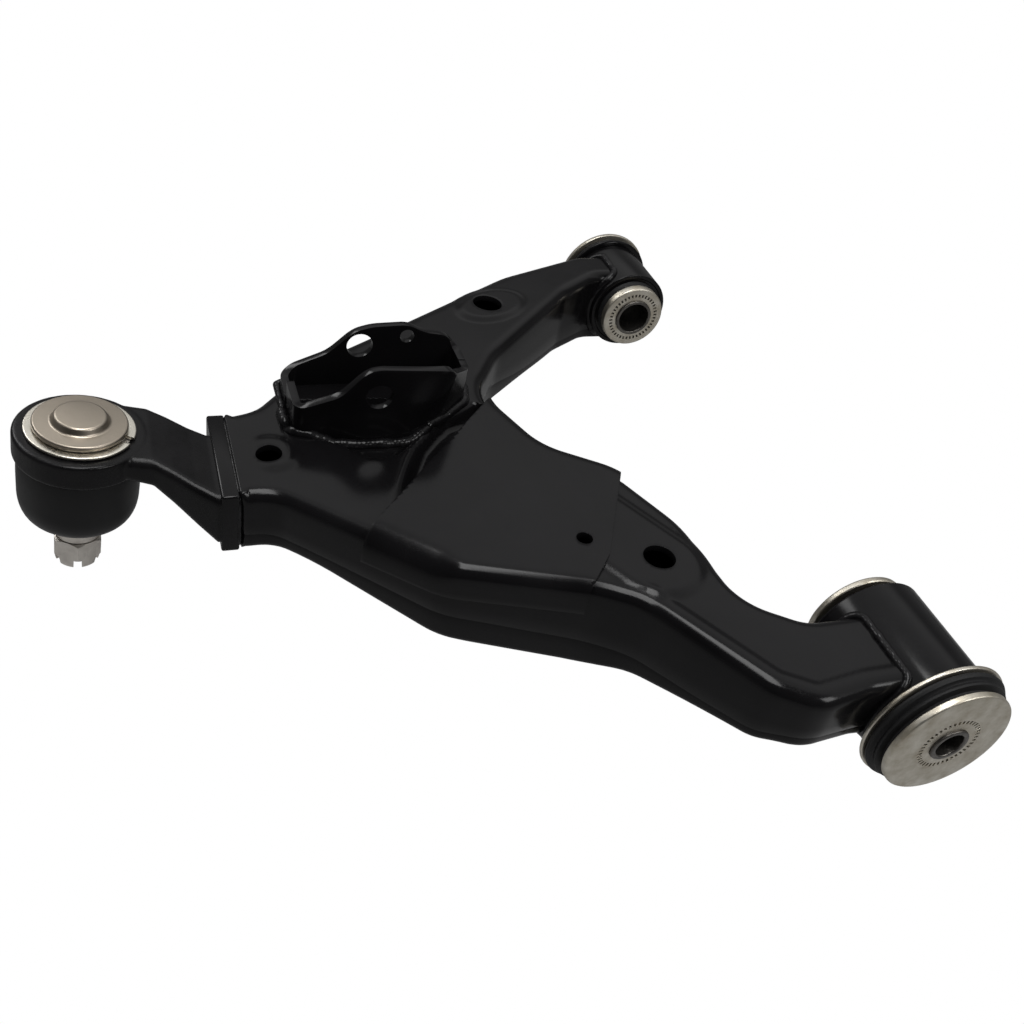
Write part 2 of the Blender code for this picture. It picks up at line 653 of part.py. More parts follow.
def make_ball_seats(plug_floor, lip_top):
    """Bearing shells round the ball: a floating liner, an upper seat and a lower seat."""
    outer = HOUSING_BORE - GAP
    liner_in = BALL_RADIUS + GAP
    liner_out = liner_in + LINER_THICKNESS
    cavity = liner_out + GAP
    liner = arc(0, liner_out, 0, LINER_ANGLE, 8) + arc(0, liner_in, LINER_ANGLE, 0, 8)
    turned("ball_liner", liner, NYLON, BALL, INNER_STEPS)
    split = GAP / 2
    roof = plug_floor - GAP
    dome = arc(0, cavity, pi / 2, 0, 10)
    dome[0] = (sqrt(cavity ** 2 - split ** 2), split)
    upper = [(0, roof), (outer, roof), (outer, split)] + dome
    turned("upper_ball_seat", upper, NYLON, BALL, INNER_STEPS)
    floor = lip_top + GAP
    reach = sqrt(liner_in ** 2 - floor ** 2)
    steps = 5
    rising = [floor + (-split - floor) * k / steps for k in range(steps + 1)]
    bowl = [(sqrt(liner_in ** 2 - height ** 2), height) for height in rising]
    lower = [(outer, -split), (outer, floor), (reach, floor)] + bowl[1:]
    turned("lower_ball_seat", lower, NYLON, BALL, INNER_STEPS)


def make_stud():
    """Ball stud with its castle nut run up to the taper."""
    thread_end = TAPER_END - 2 * GAP - NUT_HEIGHT + 1 * MM
    joint = pi - STUD_NECK_RADIUS / BALL_RADIUS
    ball = arc(0, BALL_RADIUS, 0, joint, 12)
    stud = ball + [
        (STUD_NECK_RADIUS, TAPER_TOP + 4 * MM),
        (TAPER_TOP_RADIUS, TAPER_TOP),
        (TAPER_END_RADIUS, TAPER_END),
        (THREAD_RADIUS, TAPER_END),
        (THREAD_RADIUS, thread_end + 1 * MM),
        (THREAD_RADIUS - 1 * MM, thread_end),
        (0, thread_end),
    ]
    turned("ball_stud", stud, STEEL, STUD, INNER_STEPS)
    nut_top = TAPER_END - GAP
    bm = bmesh.new()
    corner_radius = NUT_ACROSS_FLATS / sqrt(3)
    bmesh.ops.create_cone(bm, cap_ends=True, segments=6, radius1=corner_radius, radius2=corner_radius,
                          depth=NUT_HEIGHT)
    bmesh.ops.translate(bm, vec=(0, 0, nut_top - NUT_HEIGHT / 2), verts=bm.verts[:])
    nut = part("castle_nut", mesh_from(bm, "castle_nut"), STEEL, STUD)
    bevel_edges(nut, 1 * MM, 1)
    bore = round_cutter("nut_thread", THREAD_RADIUS + GAP, 3 * NUT_HEIGHT, parent=STUD,
                        location=(0, 0, nut_top - NUT_HEIGHT / 2))
    boolean(nut, bore)
    floor = nut_top - NUT_HEIGHT
    for k in range(3):
        size = (2 * NUT_ACROSS_FLATS, NUT_SLOT_WIDTH, 2 * NUT_SLOT_DEPTH)
        slot = box_cutter("nut_slot_" + str(k + 1), size, parent=STUD, location=(0, 0, floor),
                          rotation=(0, 0, k * pi / 3))
        boolean(nut, slot)


def make_boot():
    """Rubber dust boot from the housing flange to a collar on the stud's taper."""
    top = EYE_TOP - EYE_THICKNESS - GAP
    slope = (TAPER_END_RADIUS - TAPER_TOP_RADIUS) / (TAPER_END - TAPER_TOP)
    collar_top = BOOT_FLOOR - GAP
    collar_floor = collar_top - COLLAR_HEIGHT
    bore_top = TAPER_TOP_RADIUS + slope * (collar_top - TAPER_TOP) + GAP
    bore_floor = TAPER_TOP_RADIUS + slope * (collar_floor - TAPER_TOP) + GAP
    lip = TAPER_TOP_RADIUS + slope * (BOOT_FLOOR - TAPER_TOP) + 2 * GAP
    collar = [(bore_top + COLLAR_WALL, collar_top), (bore_floor + COLLAR_WALL, collar_floor + 1 * MM),
              (bore_floor + COLLAR_WALL - 0.6 * MM, collar_floor), (bore_floor, collar_floor),
              (bore_top, collar_top)]
    turned("boot_collar", collar, STEEL, TILT)
    depth = BOOT_SHOULDER - BOOT_FLOOR
    reach = BOOT_RADIUS - lip - COLLAR_WALL
    steps = 8
    outside = [(BOOT_RADIUS, top)]
    inside = []
    for k in range(steps + 1):
        angle = pi / 2 * k / steps
        flare = cos(angle) ** 0.7
        fall = sin(angle)
        outside.append((lip + COLLAR_WALL + reach * flare, BOOT_SHOULDER - depth * fall))
        inside.append((lip + (reach + COLLAR_WALL - BOOT_WALL) * flare,
                       BOOT_SHOULDER - (depth - BOOT_WALL) * fall))
    inner_radius = BOOT_RADIUS - BOOT_WALL
    profile = outside + [(lip, BOOT_FLOOR)] + inside[::-1][:-1] + [(inner_radius, BOOT_SHOULDER), (inner_radius, top)]
    turned("dust_boot", profile, RUBBER, BALL)
    clamp_in = HOUSING_FLANGE_RADIUS + GAP
    clamp_out = inner_radius - GAP
    clamp = ring(clamp_in, clamp_out, top - HOUSING_FLANGE_DEPTH, top)
    turned("boot_clamp_ring", clamp, STEEL, BALL, INNER_STEPS)


def make_bush(side, axis, outboard, sizes):
    """One pivot bush: tube, flanged outer sleeve, bonded rubber, inner sleeve and two washers.

    Heights run along +X from the middle of the tube; outboard is -1 or +1 for the flanged end.
    """
    half = sizes["length"] / 2
    tube_bore = sizes["tube"] - TUBE_WALL
    shell_out = tube_bore - GAP
    shell_in = shell_out - OUTER_SLEEVE_WALL
    flange_near = half + GAP
    flange_far = flange_near + FLANGE_THICKNESS
    lip_near = flange_far + GAP
    lip_far = lip_near + sizes["lip"]
    outer_near = lip_far + GAP
    outer_far = outer_near + sizes["outer_washer"]
    tail_far = half + sizes["tail"]
    inner_near = tail_far + GAP
    inner_far = inner_near + sizes["inner_washer"]
    rubber_in = sizes["sleeve"] + GAP
    rubber_out = shell_in - GAP
    step = sizes["lip"] / 3

    def place(profile):
        """Profiles are drawn with the outboard end up; a bush that faces -X is turned over."""
        if outboard > 0:
            return profile
        return [(radius, -height) for radius, height in profile][::-1]

    tube = ring(tube_bore, sizes["tube"], -half, half, WASHER_EDGE)
    turned(side + "_bush_tube", tube, PAINT, axis)
    flanged = [(sizes["flange"], flange_far), (sizes["flange"], flange_near), (shell_out, flange_near),
               (shell_out, -half), (shell_in, -half), (shell_in, flange_far)]
    turned(side + "_bush_outer_sleeve", place(flanged), ZINC, axis)
    lip = sizes["flange"] - 1 * MM
    waist = min(lip, sizes["outer_radius"]) - 3 * MM
    rubber = [(waist, lip_far), (waist, lip_far - step), (lip, lip_near + step), (lip, lip_near),
              (rubber_out, lip_near), (rubber_out, 1 * MM - half),
              (min(rubber_out, sizes["inner_radius"]) - 2 * MM, -tail_far),
              (rubber_in, -tail_far), (rubber_in, lip_far)]
    turned(side + "_bush_rubber", place(rubber), RUBBER, axis)
    sleeve = ring(sizes["bolt"], sizes["sleeve"], -inner_far - SLEEVE_PROUD, outer_far + SLEEVE_PROUD)
    turned(side + "_bush_inner_sleeve", place(sleeve), STEEL, axis)
    washer = ring(rubber_in, sizes["outer_radius"], outer_near, outer_far, WASHER_EDGE)
    turned(side + "_bush_outer_washer", place(washer), ZINC, axis)
    washer = ring(rubber_in, sizes["inner_radius"], -inner_far, -inner_near, WASHER_EDGE)
    turned(side + "_bush_inner_washer", place(washer), ZINC, axis)


def make_bushes():
    front = dict(tube=FRONT_TUBE_RADIUS, length=FRONT_TUBE_LENGTH, sleeve=FRONT_SLEEVE_RADIUS,
                 bolt=FRONT_BOLT_RADIUS, flange=FRONT_FLANGE_RADIUS, outer_radius=FRONT_OUTER_WASHER_RADIUS,
                 inner_radius=FRONT_INNER_WASHER_RADIUS, outer_washer=FRONT_OUTER_WASHER,
                 inner_washer=FRONT_INNER_WASHER, lip=FRONT_LIP, tail=FRONT_TAIL)
    rear = dict(tube=REAR_TUBE_RADIUS, length=REAR_TUBE_LENGTH, sleeve=REAR_SLEEVE_RADIUS,
                bolt=REAR_BOLT_RADIUS, flange=REAR_FLANGE_RADIUS, outer_radius=REAR_OUTER_WASHER_RADIUS,
                inner_radius=REAR_INNER_WASHER_RADIUS, outer_washer=REAR_OUTER_WASHER,
                inner_washer=REAR_INNER_WASHER, lip=REAR_LIP, tail=REAR_TAIL)
    make_bush("front", FRONT, -1, front)
    make_bush("rear", REAR, 1, rear)


clear_scene()
PARTS = collection("control_arm")
CUTTERS = collection("cutters")
ARM = axis_empty("arm_pivot", (0, 0, 0), (0, 0, 0))
FRONT = axis_empty("front_bush_axis", (0, 0, 0), (0, radians(90), 0))
REAR = axis_empty("rear_bush_axis", (SPAN, 0, 0), (0, radians(90), 0))
BALL = axis_empty("ball_joint_axis", (BALL_X, BALL_Y, BALL_Z), (BALL_TILT, 0, 0))
TILT = axis_empty("stud_tilt", (BALL_X, BALL_Y, BALL_Z), (BALL_TILT, 0, 0))
STUD = axis_empty("stud_axis", (BALL_X, BALL_Y, BALL_Z), (BALL_TILT, 0, 0))
make_shells()
make_cover_plate()
make_shock_bracket()
make_end_plate()
make_ball_joint_bracket()
make_ball_seats(*make_housing())
make_stud()
make_boot()
make_bushes()
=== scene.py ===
"""Looks of a stamped steel suspension control arm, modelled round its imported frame."""
from math import cos, pi, radians, sin, sqrt, tan

import bmesh
import bpy
import numpy as np
from bpy.props import FloatProperty, FloatVectorProperty, IntProperty, PointerProperty
from mathutils import Matrix, Vector, noise
from mathutils.geometry import delaunay_2d_cdt


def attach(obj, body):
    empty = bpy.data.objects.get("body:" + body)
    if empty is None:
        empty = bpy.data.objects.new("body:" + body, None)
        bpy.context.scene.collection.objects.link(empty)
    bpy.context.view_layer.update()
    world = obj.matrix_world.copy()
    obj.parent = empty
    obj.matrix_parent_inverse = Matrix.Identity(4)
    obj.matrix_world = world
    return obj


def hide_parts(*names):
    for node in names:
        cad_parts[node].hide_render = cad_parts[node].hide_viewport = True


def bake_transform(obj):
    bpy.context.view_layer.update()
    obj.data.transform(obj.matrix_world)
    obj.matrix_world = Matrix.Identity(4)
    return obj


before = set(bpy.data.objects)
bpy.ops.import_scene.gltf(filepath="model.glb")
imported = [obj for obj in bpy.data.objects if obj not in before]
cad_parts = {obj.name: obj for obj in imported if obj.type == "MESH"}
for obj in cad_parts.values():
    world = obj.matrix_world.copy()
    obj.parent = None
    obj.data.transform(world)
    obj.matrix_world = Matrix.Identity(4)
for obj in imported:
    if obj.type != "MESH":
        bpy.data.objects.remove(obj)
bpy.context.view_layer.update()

bl_info = {
    "name": "Control arm looks",
    "version": (1, 0, 0),
    "blender": (4, 5, 0),
    "location": "View3D > Sidebar > Control arm",
    "description": "Models and finishes a stamped suspension control arm piece by piece",
    "category": "Object",
}

MM = 0.001

# Places, in metres: turned pieces are spun about local Z
FRONT = Matrix.Rotation(pi / 2, 4, 'Y')
REAR = Matrix.Translation((0.368, 0, 0)) @ Matrix.Rotation(pi / 2, 4, 'Y')
BALL_CENTRE = Vector((0.181, 0.3712, 0.0115))
BALL_TILT = radians(5.3)
BALL = Matrix.Translation(BALL_CENTRE) @ Matrix.Rotation(BALL_TILT, 4, 'X')

# Arm plan in millimetres: x, y, corner radius, counter-clockwise from the outer end
PLAN = (
    (138, 300, 4.5), (138, 284, 24), (75.1, 213.9, 40), (53, 144, 60), (41, 127, 50), (-18, 90, 26),
    (-31.5, 69.9, 22), (-27, 39.9, 16), (-27, 0, 8), (19.5, 0, 8), (19.5, 50.1, 20), (37.5, 75.9, 34),
    (94, 81.9, 60), (138, 102, 34), (162, 138, 40), (216, 158.1, 44), (258, 131.1, 70), (331, 57.9, 40),
    (352, 27.9, 20), (352, 0, 8), (382, 0, 8), (382, 32.1, 30), (352, 99.9, 90), (299, 177.9, 90),
    (254, 246, 60), (210.5, 284, 34), (206, 300, 4.5),
)
# Underside of the arm: y, front height, rear height, seam above it
FLOOR = ((0, -12, -28, 9), (30, -12, -28, 9), (70, -8, -25, 9), (100, -16, -20, 9), (138, -30, -15, 18),
         (205, -23.5, -18, 18), (265, -10, -10, 9), (300, -11, -11, 11))
TOP = 25.0
HOLES = ((169, 282, 6.6), (68.5, 107.8, 8.3), (312, 122, 9.4), (85, 142, 5))
RECESS_ARC = ((187, 272), (183, 261), (173, 245), (162, 234), (160, 227), (162, 216), (171, 206), (184, 194))
VALLEY = ((116, 236), (142, 223), (162, 213), (175, 206), (187, 196), (197, 186), (207, 166))
PLATE_FAR = ((112, 226), (150, 190), (180, 162), (198, 146))
FRONT_CREASE = ((41, 127), (-18, 90), (-31, 70), (-27, 40), (-27, 15))
PLATE_EDGES = (((115.5, 236), (194.5, 164.5)), ((131, 103), (73, 133)), ((73, 133), (53, 150)),
               ((225, 300), (225, 0)))
PLATE_HOLE = (85, 142, 4.2)
FRONT_SEAT, REAR_SEAT = 30.2, 26.4  # radii that the legs are cut to, inside the tubes' walls
SEAT_LENGTH = 90

# Outer end: end plate corners, and neck sections as y, x from and to, z from and to
END_PLATE = ((138.4, 299.8, -10.4), (205.6, 308.6, 24.4))
NECK = ((305, 138.5, 192.5, -6, 23.5), (310, 138.5, 192.5, -6, 23.5), (319, 144.3, 196, 1.6, 26.2),
        (329, 151, 200.6, 10.5, 30.2), (338, 156.2, 204, 18, 33.4), (350, 157.5, 206, 21.6, 34.8),
        (366, 160, 203, 23.2, 36.2))
EYE = ((0, 12.2, 0), (30.2, 12.2, 1.2), (30.2, 25.4, 1.6), (0, 25.4, 0))
EYE_BORE = 23.6

# Ball joint profiles: radius, height above the ball centre, corner radius
CAP = ((0, 22, 0), (17, 22, 0), (17, 27.6, 0), (20.4, 27.6, 0.6), (21.6, 28.4, 0.6), (21.6, 30.7, 1.0),
       (13.2, 30.7, 1.6), (11.8, 34.2, 1.7), (0, 34.4, 0))
RING = ((20.9, 25.8, 0.4), (25.2, 25.8, 0.6), (25.2, 27.4, 0.6), (20.9, 27.4, 0.4))
RING_MOUTH = ((-2.5, -32, 20), (2.5, -14, 32))
RING_TURN = -0.432
COLLAR = ((12.5, -24.9, 0.3), (13.6, -24.9, 0.7), (13.6, -33.3, 0.7), (12.5, -33.3, 0.3))
BOOT_WALL, BOOT_WAIST, BOOT_DEPTH = 2.2, -9, 15.2
BALL_RADIUS = 14.5
THREAD_TOP, THREAD_PITCH, THREADS = -38.6, 1.5, 10
NUT_ACROSS_FLATS, NUT_MIDDLE, NUT_HEIGHT = 22, -46.3, 16
NUT_TURNING = ((0, -38.3), (11.0, -38.3), (13.2, -39.6), (13.2, -47.6), (11.6, -49.2), (10.6, -54.0),
               (10.3, -54.3), (0, -54.3))
NUT_SLOT = ((-20, -2, -60), (20, 2, -48.8))

# Bush profiles: radius, height along the axis, corner radius
FRONT_TUBE = ((29.0, -30, 0.4), (31.9, -30, 0.8), (31.9, 30, 0.8), (29.0, 30, 0.4))
REAR_TUBE = ((25.1, -22, 0.4), (28, -22, 0.8), (28, 22, 0.8), (25.1, 22, 0.4))
FRONT_SLEEVE = ((26.8, 29.5, 0), (28.7, 29.5, 0), (28.7, -30.2, 0.8), (36.4, -30.2, 0.8), (37.5, -31, 0.5),
                (37.5, -32.7, 0.7), (26.8, -32.7, 0))
REAR_SLEEVE = ((23.0, -21.5, 0), (24.8, -21.5, 0), (24.8, 22.2, 0.5), (30.2, 22.2, 0.6), (31.2, 23, 0.5),
               (31.2, 24.7, 0.6), (23.0, 24.7, 0))
FRONT_CORE = ((7.4, -47.1, 0.8), (10.1, -47.1, 0.7), (10.1, 40.8, 0.7), (7.4, 40.8, 0.8))
REAR_CORE = ((11, -33.3, 0.6), (13.3, -33.3, 0.6), (13.3, 33.8, 0.6), (11, 33.8, 0.6))
# Bush rubber: radius and height, with the ridges of its lip
FRONT_RUBBER = ((10.3, 36), (19, 36), (23.5, 35.2), (26.6, 33), (26.7, -30), (26.9, -33), (35.4, -33.2),
                (36.4, -34.0), (36.6, -35.2), (36.0, -36.3), (34.6, -36.6), (34.0, -37.2), (34.2, -37.9),
                (34.6, -38.6), (34.2, -39.5), (32.6, -39.8), (31.2, -40.3), (30.6, -41.2), (30.4, -42),
                (10.3, -42))
REAR_RUBBER = ((13.5, -25.7), (18, -25.7), (21, -24.6), (22.9, -22), (22.9, 22), (23.1, 25), (29.4, 25.1),
               (30.2, 25.8), (30.0, 26.9), (28.9, 27.4), (28.7, 28), (29.2, 28.7), (29.0, 29.1), (13.5, 29.1))
# Washers: place, bore and rim radius, heights of face and back, side it faces, radii of its marks
WASHERS = {
    "front_outer_washer": (FRONT, 10.2, 33.0, -45.8, -42.2, -1, 14.1, 16.5),
    "front_inner_washer": (FRONT, 10.2, 27.3, 39.3, 35.8, 1, 14.6, 16.8),
    "rear_outer_washer": (REAR, 13.4, 32.5, 32.3, 29.2, 1, 17.6, 20.2),
    "rear_inner_washer": (REAR, 13.4, 22.4, -31.8, -25.8, -1, 15.9, 18.2),
}
WASHER_EDGE = 1.1

# Weld lines
FOOT_WELD = ((206, 270.5, 0), (186, 270, 10), (181, 250, 14), (178, 234, 10), (178, 207, 18), (206, 168, 10),
             (218, 165.5, 6), (233, 165.5, 0))
BACK_WELD = ((234, 168, 25), (234.3, 210, 25.2), (234.3, 262, 25.2), (230, 269, 25.2), (206, 269.3, 25))
END_WELD = ((138.8, -10, 7), (205.2, -10, 7), (205.2, 23.6, 7), (138.8, 23.6, 7))
NECK_WELD = ((139.5, -5.5, 4), (191.5, -5.5, 4), (191.5, 22.4, 4), (139.5, 22.4, 4))

# Stage, in metres: the floor lies below the arm's lowest pose
FLOOR_PLACE = (0.18, 0.17, -0.215)
# Floor greys for rays other than camera and transmission rays: the floor darkens from the near grey to the far
# grey as painted shade, so the paint mirrors a darker floor beyond the arm
FLOOR_NEAR, FLOOR_FAR_PAINTED_SHADE = 0.33, 0.14
CAMERA_PLACE = (-0.2649, 0.3567, 0.3644)
CAMERA_RIGHT, CAMERA_UP = (-0.3079, -0.9359, 0.1714), (0.64716, -0.07395, 0.75876)
CAMERA_BACK = (-0.6974, 0.3445, 0.6284)
LENS, SENSOR = 38.0, 36.0
LAMP_TARGET = Vector((0.18, 0.18, 0.0))


class ArmSizes(bpy.types.PropertyGroup):
    """Sizes of the arm's pressed and welded pieces."""
    sheet: FloatProperty(name="Sheet", description="Thickness of the shells", default=0.0035,
                         min=0.001, unit='LENGTH')
    bend: FloatProperty(name="Bend radius", description="Radius of the shells' bent edge", default=0.007,
                        min=0.004, unit='LENGTH')
    pad: FloatProperty(name="Pad height", description="Height of the pads round the access holes",
                       default=0.0018, unit='LENGTH')
    recess: FloatProperty(name="Recess depth", default=0.0050, unit='LENGTH',
                          description="Depth of the recess in front of the shock bracket")
    valley: FloatProperty(name="Valley depth", description="Depth of the valley beside the cover plate",
                          default=0.0080, unit='LENGTH')
    weld: FloatProperty(name="Weld radius", description="Half width of the weld beads", default=0.0022,
                        min=0.0005, unit='LENGTH')


class BushSizes(bpy.types.PropertyGroup):
    """Details of the two pivot bushes."""
    serrations: IntProperty(name="Serrations", description="Small marks round each bolt sleeve", default=40,
                            min=8, max=90)
    depth: FloatProperty(name="Serration depth", description="How deep each mark is pressed", default=0.0008,
                         unit='LENGTH')


class ArmFinish(bpy.types.PropertyGroup):
    """Colours of the finishes."""
    paint: FloatVectorProperty(name="Paint", description="Black dip paint of the arm", subtype='COLOR',
                               size=4, min=0, max=1, default=(0.0022, 0.0021, 0.0023, 1))
    rubber: FloatVectorProperty(name="Rubber", description="Bush rubber and dust boot", subtype='COLOR',
                                size=4, min=0, max=1, default=(0.0035, 0.0035, 0.0037, 1))
    zinc: FloatVectorProperty(name="Zinc", description="Bush washers and sleeves", subtype='COLOR',
                              size=4, min=0, max=1, default=(0.52, 0.495, 0.435, 1))
    nickel: FloatVectorProperty(name="Nickel", description="Ball joint cap and ring", subtype='COLOR',
                                size=4, min=0, max=1, default=(0.29, 0.255, 0.21, 1))
    steel: FloatVectorProperty(name="Steel", description="Stud and castle nut", subtype='COLOR',
                               size=4, min=0, max=1, default=(0.60, 0.565, 0.52, 1))
    nylon: FloatVectorProperty(name="Nylon", description="Ball seats and liner", subtype='COLOR',
                               size=4, min=0, max=1, default=(0.70, 0.69, 0.64, 1))


class StageLight(bpy.types.PropertyGroup):
    """Lamps and floor round the object."""
    overhead: FloatProperty(name="Overhead", description="Power of the overhead panel", default=17.0,
                            min=0, unit='POWER')
    side: FloatProperty(name="Side", description="Power of the panel beside the camera", default=7.0,
                        min=0, unit='POWER')
    floor: FloatProperty(name="Floor side", description="Side of the square floor", default=6.0, min=1,
                         unit='LENGTH')


# Modelling helpers

def pick(*objects):
    """Select only these objects and make the last one active."""
    bpy.ops.object.select_all(action='DESELECT')
    for obj in objects:
        obj.select_set(True)
    bpy.context.view_layer.objects.active = objects[-1]


def named(name):
    made = bpy.context.object
    made.name = name
    made.data.name = name
    return made


def placed(obj, place):
    """Put an object at a place and bake the place into its mesh."""
    obj.matrix_world = place
    pick(obj)
    bpy.ops.object.transform_apply(location=True, rotation=True, scale=True)
    return obj


def applied(obj, kind, **settings):
    modifier = obj.modifiers.new(kind.title(), kind)
    for key, value in settings.items():
        setattr(modifier, key, value)
    pick(obj)
    bpy.ops.object.modifier_apply(modifier=modifier.name)
    return obj


def joined(obj, tool, operation='DIFFERENCE'):
    """Boolean of two solids; the tool is used up."""
    applied(obj, 'BOOLEAN', operation=operation, object=tool, solver='EXACT')
    bpy.data.objects.remove(tool, do_unlink=True)
    return obj


def rounded(corners, closed=True, step=radians(10)):
    """Line through (x, y, radius) corners with a tangent arc at each."""
    points = []
    last = len(corners) - 1
    for i, (x, y, radius) in enumerate(corners):
        here = Vector((x, y))
        if radius == 0 or (not closed and i in (0, last)):
            points.append((x, y))
            continue
        back = Vector(corners[i - 1][:2]) - here
        ahead = Vector(corners[(i + 1) % len(corners)][:2]) - here
        turn = pi - back.angle(ahead)
        if turn < 0.01:
            points.append((x, y))
            continue
        reach = min(radius * tan(turn / 2), 0.45 * min(back.length, ahead.length))
        fitted = reach / tan(turn / 2)
        back.normalize()
        ahead.normalize()
        centre = here + (back + ahead).normalized() * (fitted / cos(turn / 2))
        spoke = here + back * reach - centre
        side = 1 if back.cross(ahead) < 0 else -1
        steps = max(2, round(turn / step))
        for k in range(steps + 1):
            angle = side * turn * k / steps
            points.append((centre.x + spoke.x * cos(angle) - spoke.y * sin(angle),
                           centre.y + spoke.x * sin(angle) + spoke.y * cos(angle)))
    return points


def evened(points, spacing, closed=True):
    """The same line with points at an even spacing."""
    line = np.array(points, float)
    if closed:
        line = np.vstack([line, line[:1]])
    along = np.concatenate([[0], np.cumsum(np.linalg.norm(np.diff(line, axis=0), axis=1))])
    count = max(2, round(along[-1] / spacing))
    marks = np.linspace(0, along[-1], count + 1)
    if closed:
        marks = marks[:-1]
    return np.stack([np.interp(marks, along, line[:, k]) for k in range(line.shape[1])], axis=1)


def turned(name, profile, place, steps=72):
    """Piece spun about its place's Z through (radius, height) points in millimetres."""
    on_axis = profile[0][0] == 0 and profile[-1][0] == 0
    line = list(profile) if on_axis else list(profile) + [profile[0]]
    points = [Vector((radius, 0, height)) * MM for radius, height in line]
    bpy.ops.object.select_all(action='DESELECT')
    bpy.ops.mesh.primitive_plane_add(size=MM)
    made = named(name)
    bpy.ops.object.mode_set(mode='EDIT')
    bpy.ops.mesh.merge(type='CENTER')
    bpy.ops.transform.translate(value=points[0])
    for start, end in zip(points, points[1:]):
        bpy.ops.mesh.extrude_vertices_move(TRANSFORM_OT_translate={"value": end - start})
    bpy.ops.mesh.select_all(action='SELECT')
    bpy.ops.mesh.remove_doubles(threshold=0.000002)
    bpy.ops.mesh.select_all(action='SELECT')
    bpy.ops.mesh.spin(steps=steps, angle=2 * pi, center=(0, 0, 0), axis=(0, 0, 1))
    bpy.ops.mesh.select_all(action='SELECT')
    bpy.ops.mesh.remove_doubles(threshold=0.000002)
    bpy.ops.mesh.normals_make_consistent(inside=False)
    bpy.ops.object.mode_set(mode='OBJECT')
    return placed(made, place)


def rod(name, radius, length, place, vertices=48):
    """Cylinder along its place's Z, in millimetres."""
    bpy.ops.object.select_all(action='DESELECT')
    bpy.ops.mesh.primitive_cylinder_add(vertices=vertices, radius=radius * MM, depth=length * MM)
    return placed(named(name), place)


def block(name, low, high):
    """Box between two corners in millimetres."""
    low, high = Vector(low) * MM, Vector(high) * MM
    bpy.ops.object.select_all(action='DESELECT')
    bpy.ops.mesh.primitive_cube_add(size=1)
    made = named(name)
    made.scale = high - low
    made.location = (low + high) / 2
    bpy.context.view_layer.update()
    pick(made)
    bpy.ops.object.transform_apply(location=True, rotation=True, scale=True)
    return made


def sheet_mesh(name, verts, faces):
    """Object from points in millimetres."""
    mesh = bpy.data.meshes.new(name)
    mesh.from_pydata([tuple(float(c) * MM for c in v) for v in verts], [], faces)
    made = bpy.data.objects.new(name, mesh)
    bpy.context.scene.collection.objects.link(made)
    return made


def bead(name, points, radius, closed=False, wave=2.4, ripple=0.03):
    """Weld bead along points in millimetres, with the waves that a weld leaves."""
    line = evened(points, 0.8, closed)
    curve = bpy.data.curves.new(name, 'CURVE')
    curve.dimensions = '3D'
    curve.bevel_depth = radius * MM
    curve.bevel_resolution = 3
    curve.use_fill_caps = True
    spline = curve.splines.new('POLY')
    spline.points.add(len(line) - 1)
    spline.use_cyclic_u = closed
    for k, (point, here) in enumerate(zip(spline.points, line)):
        drift = noise.noise(Vector(here) * 0.2)
        point.co = (*(here * MM), 1)
        point.radius = 1 + ripple * sin(2 * pi * k * 0.8 / wave) + 0.2 * drift
        if not closed and min(k, len(line) - 1 - k) < 3:
            point.radius *= 0.55 + 0.15 * min(k, len(line) - 1 - k)
    made = bpy.data.objects.new(name, curve)
    bpy.context.scene.collection.objects.link(made)
    pick(made)
    bpy.ops.object.convert(target='MESH')
    return named(name)


def finished(obj, material, body, slot, *nodes, angle=35):
    """Shade, paint and hang a finished piece on its body."""
    pick(obj)
    bpy.ops.object.shade_smooth_by_angle(angle=radians(angle))
    obj.data.materials.clear()
    obj.data.materials.append(material)
    if nodes:
        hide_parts(*nodes)
    if body:
        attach(obj, body)
    return obj


# Fields over the arm's plan, in millimetres

def eased(share):
    share = np.clip(share, 0, 1)
    return share * share * (3 - 2 * share)


def away(x, y, line):
    """Distance of points from a line of plan points."""
    best = np.full(np.shape(x), 1e9)
    for (ax, ay), (bx, by) in zip(line, line[1:]):
        dx, dy = bx - ax, by - ay
        share = np.clip(((x - ax) * dx + (y - ay) * dy) / (dx * dx + dy * dy), 0, 1)
        best = np.minimum(best, np.hypot(x - ax - share * dx, y - ay - share * dy))
    return best


def within(x, y, loop):
    """Which points lie inside a closed loop."""
    odd = np.zeros(np.shape(x), bool)
    for (ax, ay), (bx, by) in zip(loop, np.roll(loop, -1, axis=0)):
        if ay != by:
            odd ^= ((ay > y) != (by > y)) & (x < (bx - ax) * (y - ay) / (by - ay) + ax)
    return odd


def floor_heights(x, y):
    """Heights of the arm's underside and of the seam, eased between its stations."""
    stations = np.array(FLOOR, float)
    front = rear = rise = 0
    shifts = (-9, -4.5, 0, 4.5, 9)
    for shift in shifts:
        front = front + np.interp(y + shift, stations[:, 0], stations[:, 1]) / len(shifts)
        rear = rear + np.interp(y + shift, stations[:, 0], stations[:, 2]) / len(shifts)
        rise = rise + np.interp(y + shift, stations[:, 0], stations[:, 3]) / len(shifts)
    floor = front + (rear - front) * eased((x - 120) / 110)
    return floor, floor + rise


